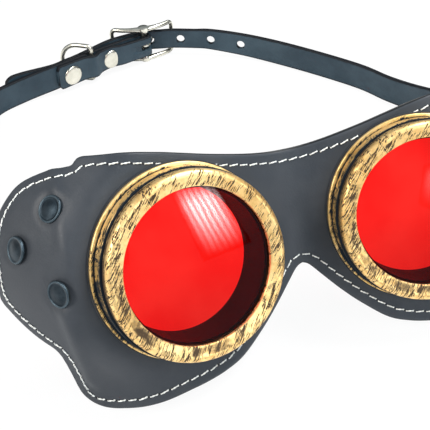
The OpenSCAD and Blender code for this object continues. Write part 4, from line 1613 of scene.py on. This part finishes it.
@dataclass
class Strap:
    """Both parts of the leather strap with their rivets."""

    surface: MaskSurface
    finishes: Finishes
    placer: Placer

    # Way past the cup's ring and share of the full half width of the fan
    fan: tuple = ((1.4, 0.62), (1.7, 0.7), (2.2, 0.8), (4, 0.94), (6.5, 1), (8.5, 0.98),
                  (11, 0.86), (14, 0.7), (17, 0.58), (20, 0.49), (24, 0.4), (27, 0.363),
                  (30.5, 0.363))
    # Points of the buckle-side strap's line that carry the two rivets
    rivets: tuple = (1, 5)
    # Radius, height and wear of a rivet cap
    cap: tuple = ((0.02, 0.0, 0.2), (4.6, 0.0, 0.1), (4.78, 0.1, 0.3), (4.8, 0.28, 0.6),
                  (4.72, 0.5, 0.6), (4.5, 0.74, 0.5), (4.1, 0.92, 0.4), (3.3, 1.08, 0.4),
                  (2.2, 1.22, 0.4), (1.1, 1.3, 0.4), (0.02, 1.32, 0.4))
    # Holes, counted from the one that the prong is in
    holes: tuple = (-3, -2, -1, 0, 1, 2)
    # Half length and half depth of the cut for the prong
    slot: tuple = (6, 5)

    def __post_init__(self) -> None:
        """Plans the route."""
        self.route = StrapRoute(self.surface)
        self.ribbon = Ribbon()

    def wing_rings(self) -> list:
        """Fan-shaped end of a strap, under the wing's rivets.

        Returns:
            Front and back points of each section.
        """
        rings = []
        for past, share in spline(self.fan, 4):
            s = SIZES.washer_r + past
            off, thick = self.ribbon.section(max(SIZES.strap_w / 2, share * SIZES.fan_w))
            z = self.route.axis_z(s) + off
            rings.append(tuple(self.surface.skin(s, z, self.route.mid + d)
                               for d in (-thick, thick)))
        return rings

    def free_rings(self, path: Array, widths: Array, flip: float) -> list:
        """Sections of the free strap along its line.

        Args:
            path: Middle line.
            widths: Width at each point of the line.
            flip: -1 for the left strap, which is built as its mirror image.

        Returns:
            Front and back points of each section.
        """
        p = path * np.array([flip, 1.0, 1.0])
        up = self.route.wing_up()
        rings = []
        for i in range(len(p)):
            t = unit(p[min(len(p) - 1, i + 1)] - p[max(0, i - 1)])
            k = ease(i / (14 * self.route.steps / 3))
            g = unit(up * (1 - k) + Z_AXIS * k)
            c = np.cross(t, g)
            size = np.linalg.norm(c)
            off, thick = self.ribbon.section(widths[i] / 2)
            mid = p[i] + g * (off / size)[:, None]
            side = c / size * thick[:, None]
            rings.append((mid + side, mid - side))
        return rings

    def punch(self, places: Sequence[Array], heads: Sequence[Array]) -> bpy.types.Object:
        """Round punches through the strap at places, across its heading.

        Args:
            places: Middle of each hole.
            heads: The strap's heading at each hole.

        Returns:
            The cutter.
        """
        r = SIZES.hole_d / 2
        rows = ((-3, r + 1.4), (-1.02, r + 0.1), (-0.8, r), (0.8, r), (1.02, r + 0.1),
                (3, r + 1.4))
        a = ring(40)
        piece = Piece()
        for p, h in zip(places, heads):
            out = np.array([-h[1], h[0], 0.0])
            piece.add(np.array([p + out * w + q * (np.outer(np.cos(a), h)
                                                   + np.outer(np.sin(a), Z_AXIS))
                                for w, q in rows]), grid_faces(len(rows), len(a), True, True))
        return piece.build("punch", 30)

    def build_right(self) -> bpy.types.Object:
        """Strap with the adjusting holes.

        Returns:
            The object.
        """
        t, steps = SIZES, self.route.steps
        path = self.route.right()
        start = len(path) - steps * (len(self.route.tail()) - 1)
        i = np.arange(len(path))
        widths = t.strap_w + (t.tail_w - t.strap_w) * ease(((i - start) * 3 / steps + 6) / 9)
        run = lengths(path)
        widths = widths * np.clip(0.3 + 0.7 * round_off(run[-1] - run, 5.0), 0.3, 1)
        rings = self.wing_rings() + self.free_rings(path, widths, 1.0)
        obj = self.ribbon.loft(rings, "strap_long")
        where = run[start + 4 * steps] + t.hole_pitch * np.array(self.holes)
        heads = at_lengths(path, where + 0.5) - at_lengths(path, where - 0.5)
        heads[:, 2] = 0
        return cut(obj, self.punch(at_lengths(path, where), unit(heads)))

    def build_left(self) -> bpy.types.Object:
        """Strap that folds round the bar, with the slot for the prong.

        Returns:
            The object.
        """
        t = SIZES
        path = self.route.left()
        bar = np.array([t.bar_x, t.bar_y + t.stand_y])
        far = np.hypot(*(path[:, :2] - bar).T)
        widths = t.strap_w - (t.strap_w - t.fold_w) * np.clip(1 - far / 50, 0, 1)
        run = lengths(path)
        widths = widths * (0.68 + 0.32 * round_off(run[-1] - run, 1.8))
        rings = [(a * MIRROR, b * MIRROR)
                 for a, b in self.wing_rings() + self.free_rings(path, widths, -1.0)]
        obj = self.ribbon.loft(rings, "strap_folded")
        h = t.prong_d / 2 + 0.6
        a = ring(24)
        wide, deep = self.slot
        rows = [[(bar[0] + wide * x * k, bar[1] + deep * y, t.hook_z + z)
                 for x, y in zip(np.cos(a), np.sin(a))]
                for z, k in ((-h, 0.97), (-h * 0.8, 1), (h * 0.8, 1), (h, 0.97))]
        cutter = Piece()
        cutter.add(np.array(rows), grid_faces(len(rows), len(a), True, True))
        return cut(obj, cutter.build("slot", 30))

    def build_rivets(self) -> None:
        """Caps of the two rivets of the fold."""
        cap = cap_prototype(self.cap, 72, 70)
        out_by = (self.route.close + SIZES.strap_t) / 2 - 0.25
        points, along, away = [], [], []
        for i in self.rivets:
            h = self.route.heading(i)
            out = np.array([h[1], -h[0], 0.0])
            p = self.route.hooked(self.route.shifted(i, -self.route.close / 2))[0]
            points.append(p + out * out_by - 0.8 * Z_AXIS)
            along.append(np.array([h[0], h[1], 0.0]))
            away.append(out)
        obj = self.placer.place("strap_rivets", [np.array(v) for v in (points, along, away)],
                                cap, self.finishes.made["nickel"], 5, jitter=0.5)
        register(obj, "mask", "strap_rivet_caps")
        bpy.data.objects.remove(cap)

    def build(self) -> None:
        """Makes both straps and the rivets."""
        for obj, node in ((self.build_right(), "strap_right"), (self.build_left(), "strap_left")):
            self.finishes.dress(obj, "strap_leather", "mask", node)
        self.build_rivets()


# Buckle


@dataclass
class Buckle:
    """Bowed wire frame with its bar, and the prong."""

    finishes: Finishes

    # Share of the bow's half angle at which the straight-edged part of a rail ends
    rail_share: float = 0.94
    corner_steps: int = 8

    @property
    def rail(self) -> float:
        """Height of a rail's middle line above the middle of the bar."""
        return (SIZES.buckle_h + SIZES.wire_d) / 2

    @staticmethod
    def bar(height: float) -> Array:
        """Point on the bar's line."""
        return np.array([SIZES.bar_x, SIZES.bar_y + SIZES.stand_y, height])

    def tube(self, piece: Piece, path: Array, wide: Array, tall: Array, closed: bool) -> None:
        """Adds a wire of changing size along a path.

        Args:
            piece: Piece under way.
            path: Middle line.
            wide: Size across the buckle's plane at each point.
            tall: Size along the other direction.
            closed: Whether the wire's end joins its start.
        """
        ahead, back = np.roll(path, -1, 0), np.roll(path, 1, 0)
        if not closed:
            ahead[-1], back[0] = path[-1], path[0]
        t = unit(ahead - back)
        u = unit(np.cross(t, Y_AXIS)) if closed else np.broadcast_to(Z_AXIS, t.shape)
        w = unit(np.cross(u, t))
        a = ring(18)
        points = (path[:, None, :]
                  + (tall / 2)[:, None, None] * np.cos(a)[None, :, None] * u[:, None]
                  + (wide / 2)[:, None, None] * np.sin(a)[None, :, None] * w[:, None])
        piece.add(points, grid_faces(len(path), len(a), True, not closed, closed),
                  wear=np.full(len(path) * len(a), 0.4))

    def bow(self, a: float, z: float) -> Array:
        """Point of the bowed surface of the frame, relative to the bar."""
        return np.array([SIZES.bow_r * math.sin(a), SIZES.bow_r * (1 - math.cos(a)), z])

    def corner(self, way: int, up: int) -> list:
        """Rounded corner of the frame at one end of the upper or lower rail.

        Args:
            way: 1 for the end at the right and -1 for the other.
            up: 1 for the upper rail and -1 for the lower.

        Returns:
            Points in the order of the frame.
        """
        r, end = SIZES.corner_r, SIZES.bow_a
        out = []
        for i in range(self.corner_steps + 1):
            a = math.pi / 2 * i / self.corner_steps
            q = self.bow(way * end, up * (self.rail - r + r * math.sin(a)))
            out.append(q + way * r * math.cos(a)
                       * np.array([math.cos(end), way * math.sin(end), 0]))
        return out if way * up > 0 else out[::-1]

    def frame_path(self) -> Array:
        """Middle line of the bowed frame, relative to the bar.

        Returns:
            The points.
        """
        end = SIZES.bow_a * self.rail_share
        top = [self.bow(a, self.rail) for a in np.linspace(end, -end, 41)]
        low = [self.bow(a, -self.rail) for a in np.linspace(-end, end, 41)]
        return np.array(self.corner(1, 1) + top + self.corner(-1, 1)
                        + self.corner(-1, -1) + low + self.corner(1, -1))

    def build_frame(self) -> None:
        """Frame whose rails swell into eyelets for the bar."""
        base = self.bar(SIZES.buckle_z)
        path = self.frame_path()
        swell = np.exp(-np.abs(path[:, 0] / 4.2) ** 1.4) * (np.abs(path[:, 2]) > 6)
        piece = Piece()
        self.tube(piece, base + path, SIZES.wire_d * (1.0 + 1.3 * swell),
                  SIZES.wire_d * (1.04 + 0.14 * swell), True)
        rail = self.rail
        top = rail + SIZES.wire_d / 2 + 0.38
        Lathe(base, Z_AXIS, Y_AXIS, 40).add(
            piece, [(0.02, -top, 0.5), (1.6, -top, 0.5), (2.4, -top + 0.35, 0.6),
                    (2.6, -rail - 0.1, 0.5), (2.3, -rail + 1.0, 0.3), (1.6, -rail + 2.2, 0.2),
                    (1.3, -rail + 3.0, 0.1), (1.3, rail - 3.5, 0.1), (1.7, rail - 2.5, 0.3),
                    (2.5, rail - 1.1, 0.5), (3.0, rail + 0.2, 0.6), (2.9, top - 0.5, 0.6),
                    (2.3, top - 0.12, 0.6), (1.2, top, 0.6), (0.02, top + 0.03, 0.6)], False)
        self.finishes.dress(piece.build("buckle_wire", 50), "nickel", "buckle", "buckle_frame")

    def build_prong(self, route: StrapRoute) -> None:
        """Prong: an eye on the bar, a rise through the hole and a straight tip.

        Args:
            route: The strap's route, which the prong crosses.
        """
        t = SIZES
        eye = t.bar_d / 2 + 0.08
        out = route.bow + t.wire_d / 2 + t.prong_d / 2 + 0.02
        slope, bend = math.radians(62), 2.0
        root = np.array([eye + 0.6, -0.3])
        rise = (out - bend * (1 - math.cos(slope)) - root[1]) / math.sin(slope)
        flat_x = root[0] + rise * math.cos(slope) + bend * math.sin(slope)
        a = np.radians(np.linspace(152, 90, 9))
        curve = np.stack([flat_x + bend * np.cos(a), out - bend + bend * np.sin(a)], -1)
        line = np.concatenate([[root], [(root + curve[0]) / 2], curve,
                               [(flat_x + (route.end_x - flat_x) * k, out)
                                for k in (0.3, 0.6, 0.85)],
                               [(route.end_x + d, out) for d in (0.5, 1.2, 1.6, 1.85, 1.98)]])
        size = np.full(len(line), t.prong_d)
        size[-5:] *= (1, 0.95, 0.8, 0.55, 0.25)
        base = self.bar(t.hook_z)
        piece = Piece()
        self.tube(piece, base + np.concatenate([line, np.zeros((len(line), 1))], -1), size, size,
                  False)
        h = t.prong_d / 2
        Lathe(base, Z_AXIS, Y_AXIS, 40).add(
            piece, [(eye, -h + 0.2, 0.2), (eye + 0.15, -h, 0.3), (eye + 0.7, -h + 0.05, 0.5),
                    (eye + 1.0, -h + 0.5, 0.6), (eye + 1.0, h - 0.5, 0.6),
                    (eye + 0.7, h - 0.05, 0.5), (eye + 0.15, h, 0.3), (eye, h - 0.2, 0.2)], False)
        self.finishes.dress(piece.build("prong_wire", 50), "nickel", "prong", "buckle_prong")

    def build(self, route: StrapRoute) -> None:
        """Makes the frame and the prong."""
        self.build_frame()
        self.build_prong(route)


# Studio


@dataclass
class Studio:
    """Camera at the photograph's angle, white floor and soft light."""

    surface: MaskSurface

    white: tuple = (1.0, 1.0, 1.0, 1.0)
    # Name, place, aim and size in metres, watts and colour of each soft lamp
    lamps: tuple = (("key", (-0.62, -0.2, 0.5), (-0.03, -0.06, 0.03), (0.45, 0.3), 5.4,
                     (1.0, 0.95, 0.89)),
                    ("fill", (0.35, -0.6, 0.5), (0.0, -0.05, 0.03), (0.5, 0.4), 2.8,
                     (0.82, 0.92, 1.0)),
                    ("top", (0.3, -0.06, 0.62), (0.0, -0.03, 0.03), (0.3, 0.25), 5.2,
                     (1.0, 1.0, 1.0)))
    # Dark cards that give metal its dark reflections, corners in millimetres
    flags: tuple = (("flag_back", ((250, 750, 0), (-750, 750, 0), (-750, 750, 280),
                                   (250, 750, 280))),
                    ("flag_right", ((600, -500, 0), (600, 500, 0), (600, 500, 500),
                                    (600, -500, 500))))
    # Name, lens, corners of the image, brightness and stripes of each bright card
    cards: tuple = (("card_left", Side.LEFT, GLARE_LEFT, 60.0, 8.0),
                    ("card_right", Side.RIGHT, GLARE_RIGHT, 5.0, 0.5))
    # Way from a lens to its card, and depth of the glass behind the cup's front
    card_away: float = 300.0
    glass_deep: float = 1.2
    card_points: int = 9
    # Half width and height of the floor
    floor_half: float = 2600.0
    floor_z: float = -0.05
    # Distances in metres between which the floor's shadow fades, and its share of white
    shadow_fade: tuple = (0.16, 0.4)
    shadow_white: float = 0.93

    def camera(self) -> None:
        """Adds the camera."""
        data = bpy.data.cameras.new("camera")
        data.lens, data.sensor_width = LENS_MM, SENSOR_MM
        data.clip_start = 0.01
        obj = bpy.data.objects.new("camera", data)
        turn = Matrix((VIEW_RIGHT, VIEW_UP, -Vector(VIEW_AHEAD))).transposed()
        obj.matrix_world = Matrix.Translation(Vector(EYE) * MM) @ turn.to_4x4()
        bpy.context.scene.collection.objects.link(obj)
        bpy.context.scene.camera = obj

    def lamp(self, name: str, place: tuple, aim: tuple, size: tuple, watts: float,
             colour: tuple) -> None:
        """Adds a rectangular soft lamp that points at a place.

        Args:
            name: Name of the lamp.
            place: Its place in metres.
            aim: Place that it points at.
            size: Its width and height.
            watts: Its power.
            colour: Its colour.
        """
        data = bpy.data.lights.new(name, "AREA")
        data.shape = "RECTANGLE"
        data.size, data.size_y = size
        data.energy = watts
        data.color = colour
        obj = bpy.data.objects.new(name, data)
        obj.location = place
        obj.rotation_euler = (Vector(aim) - Vector(place)).to_track_quat("-Z", "Y").to_euler()
        bpy.context.scene.collection.objects.link(obj)

    def staged(self, name: str, piece: Piece, material: bpy.types.Material,
               unseen_by: Sequence[str] = ()) -> None:
        """Makes a mesh of the stage.

        Args:
            name: Name of the object.
            piece: Its mesh data.
            material: Its material.
            unseen_by: Kinds of ray that don't meet it.
        """
        obj = piece.build(name, turn_out=False)
        obj.data.materials.append(material)
        for kind in unseen_by:
            setattr(obj, f"visible_{kind}", False)

    def floor(self) -> None:
        """Adds the floor: white where seen directly, with a share of shadow near the part."""
        s = Shader("floor_white")
        path = s.node("ShaderNodeLightPath")
        seen = s.out(path, "Is Camera Ray") + s.out(path, "Is Transmission Ray") * 0.8
        plain = s.node("ShaderNodeBsdfDiffuse", {"Color": (0.9, 0.9, 0.9, 1.0)})
        glow = s.node("ShaderNodeEmission", {"Color": self.white, "Strength": 1.0})
        x, y, _ = s.parts(s.place)
        white = ((x * x + y * y) ** 0.5).step(*self.shadow_fade, self.shadow_white, 1.0)
        both = s.node("ShaderNodeMixShader", {0: seen.math("MULTIPLY", white, clamp=True),
                                              1: plain.outputs[0], 2: glow.outputs[0]})
        piece = Piece()
        e, z = self.floor_half, self.floor_z
        piece.add(np.array([(-e, -e, z), (e, -e, z), (e, e, z), (-e, e, z)]), [[0, 1, 2, 3]])
        self.staged("floor", piece, s.end(both))

    def world(self) -> None:
        """White surroundings, softer for lighting than for the eye."""
        world = bpy.data.worlds.new("white")
        bpy.context.scene.world = world
        world.use_nodes = True
        t = Tree(world.node_tree)
        t.tree.nodes.clear()
        path = t.node("ShaderNodeLightPath")
        seen = t.out(path, "Is Camera Ray") + t.out(path, "Is Transmission Ray")
        soft = t.node("ShaderNodeBackground", {"Color": (0.8, 0.91, 1.0, 1.0), "Strength": 0.42})
        full = t.node("ShaderNodeBackground", {"Color": self.white, "Strength": 1.0})
        both = t.node("ShaderNodeMixShader", {0: seen, 1: soft.outputs[0], 2: full.outputs[0]})
        t.node("ShaderNodeOutputWorld", {0: both.outputs[0]})

    def card(self, name: str, side: Side, corners: Sequence[tuple], strength: float,
             stripes: float) -> None:
        """Adds a bright card whose mirror image lies on a lens.

        Args:
            name: Name of the card.
            side: Lens in which it shows.
            corners: Corners of the image, as points of the picture.
            strength: Brightness.
            stripes: Stripes across the card.
        """
        cup = self.surface.cup_lathe(side)
        n = unit(cup.axis)
        on = cup.origin - n * self.glass_deep
        focal, half = LENS_MM / SENSOR_MM * PICTURE, PICTURE / 2
        eye, right, up, ahead = (np.array(v) for v in (EYE, VIEW_RIGHT, VIEW_UP, VIEW_AHEAD))
        p = []
        for px, py in corners:
            d = unit(ahead + right * (px - half) / focal + up * (half - py) / focal)
            hit = eye + d * (np.dot(on - eye, n) / np.dot(d, n))
            p.append(hit + (d - 2 * np.dot(d, n) * n) * self.card_away)
        u = np.linspace(0, 1, self.card_points)
        grid = [(1 - a) * ((1 - b) * p[0] + b * p[1]) + a * ((1 - b) * p[3] + b * p[2])
                for a in u for b in u]
        piece = Piece()
        piece.add(np.array(grid), grid_faces(len(u), len(u)),
                  card=np.array([(a, b, 0.0) for a in u for b in u]))
        s = Shader(name)
        a, b, _ = s.parts(s.stored("card"))
        wave = (b * (stripes * TURN)).math("SINE").step(-0.9, 0.6, 0.45, 1.0)
        edge = a.step(0.0, 0.3) * a.step(1.0, 0.2) * b.step(0.0, 0.35) * b.step(1.0, 0.7)
        glow = s.node("ShaderNodeEmission", {"Color": self.white,
                                             "Strength": wave * edge * strength})
        self.staged(name, piece, s.end(glow), ("camera", "diffuse", "shadow", "transmission"))

    def flag(self, name: str, corners: Sequence[tuple]) -> None:
        """Adds a dark card.

        Args:
            name: Name of the card.
            corners: Its corners in millimetres.
        """
        piece = Piece()
        piece.add(np.array(corners), [[0, 1, 2, 3]])
        s = Shader(name)
        cloth = s.node("ShaderNodeBsdfDiffuse", {"Color": (0.02, 0.022, 0.025, 1.0)})
        self.staged(name, piece, s.end(cloth), ("camera", "transmission", "shadow"))

    def build(self) -> None:
        """Sets up everything around the goggles."""
        bpy.context.scene.view_settings.view_transform = "Standard"
        self.camera()
        self.floor()
        self.world()
        for lamp in self.lamps:
            self.lamp(*lamp)
        for flag in self.flags:
            self.flag(*flag)
        for card in self.cards:
            self.card(*card)


# Nodes of the frame that stay and get a finish
KEPT_NODES = {"lens_left": "red_glass", "lens_right": "red_glass",
              "lens_seal_left": "black_rubber", "lens_seal_right": "black_rubber",
              "clamp_ring_left": "ring_brass", "clamp_ring_right": "ring_brass",
              "wing_rivet_posts_left": "dark_steel", "wing_rivet_posts_right": "dark_steel",
              "strap_rivet_posts": "nickel", "d_ring": "nickel"}


def plain(box: tuple) -> list:
    """Box as plain lists."""
    return [[float(c) for c in corner] for corner in box]


def main() -> None:
    """Builds the whole visual model."""
    logging.basicConfig(level=logging.INFO)
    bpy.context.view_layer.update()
    surface = MaskSurface()
    finishes = Finishes()
    Studio(surface).build()
    for node, slot in KEPT_NODES.items():
        finishes.give(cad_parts[node], slot)
    placer = Placer()
    MaskLeather(surface, finishes, placer).build()
    for side in Side:
        EyeCup(side, surface, finishes).build()
    strap = Strap(surface, finishes, placer)
    strap.build()
    Buckle(finishes).build(strap.route)

if __name__ == "__main__":
    main()
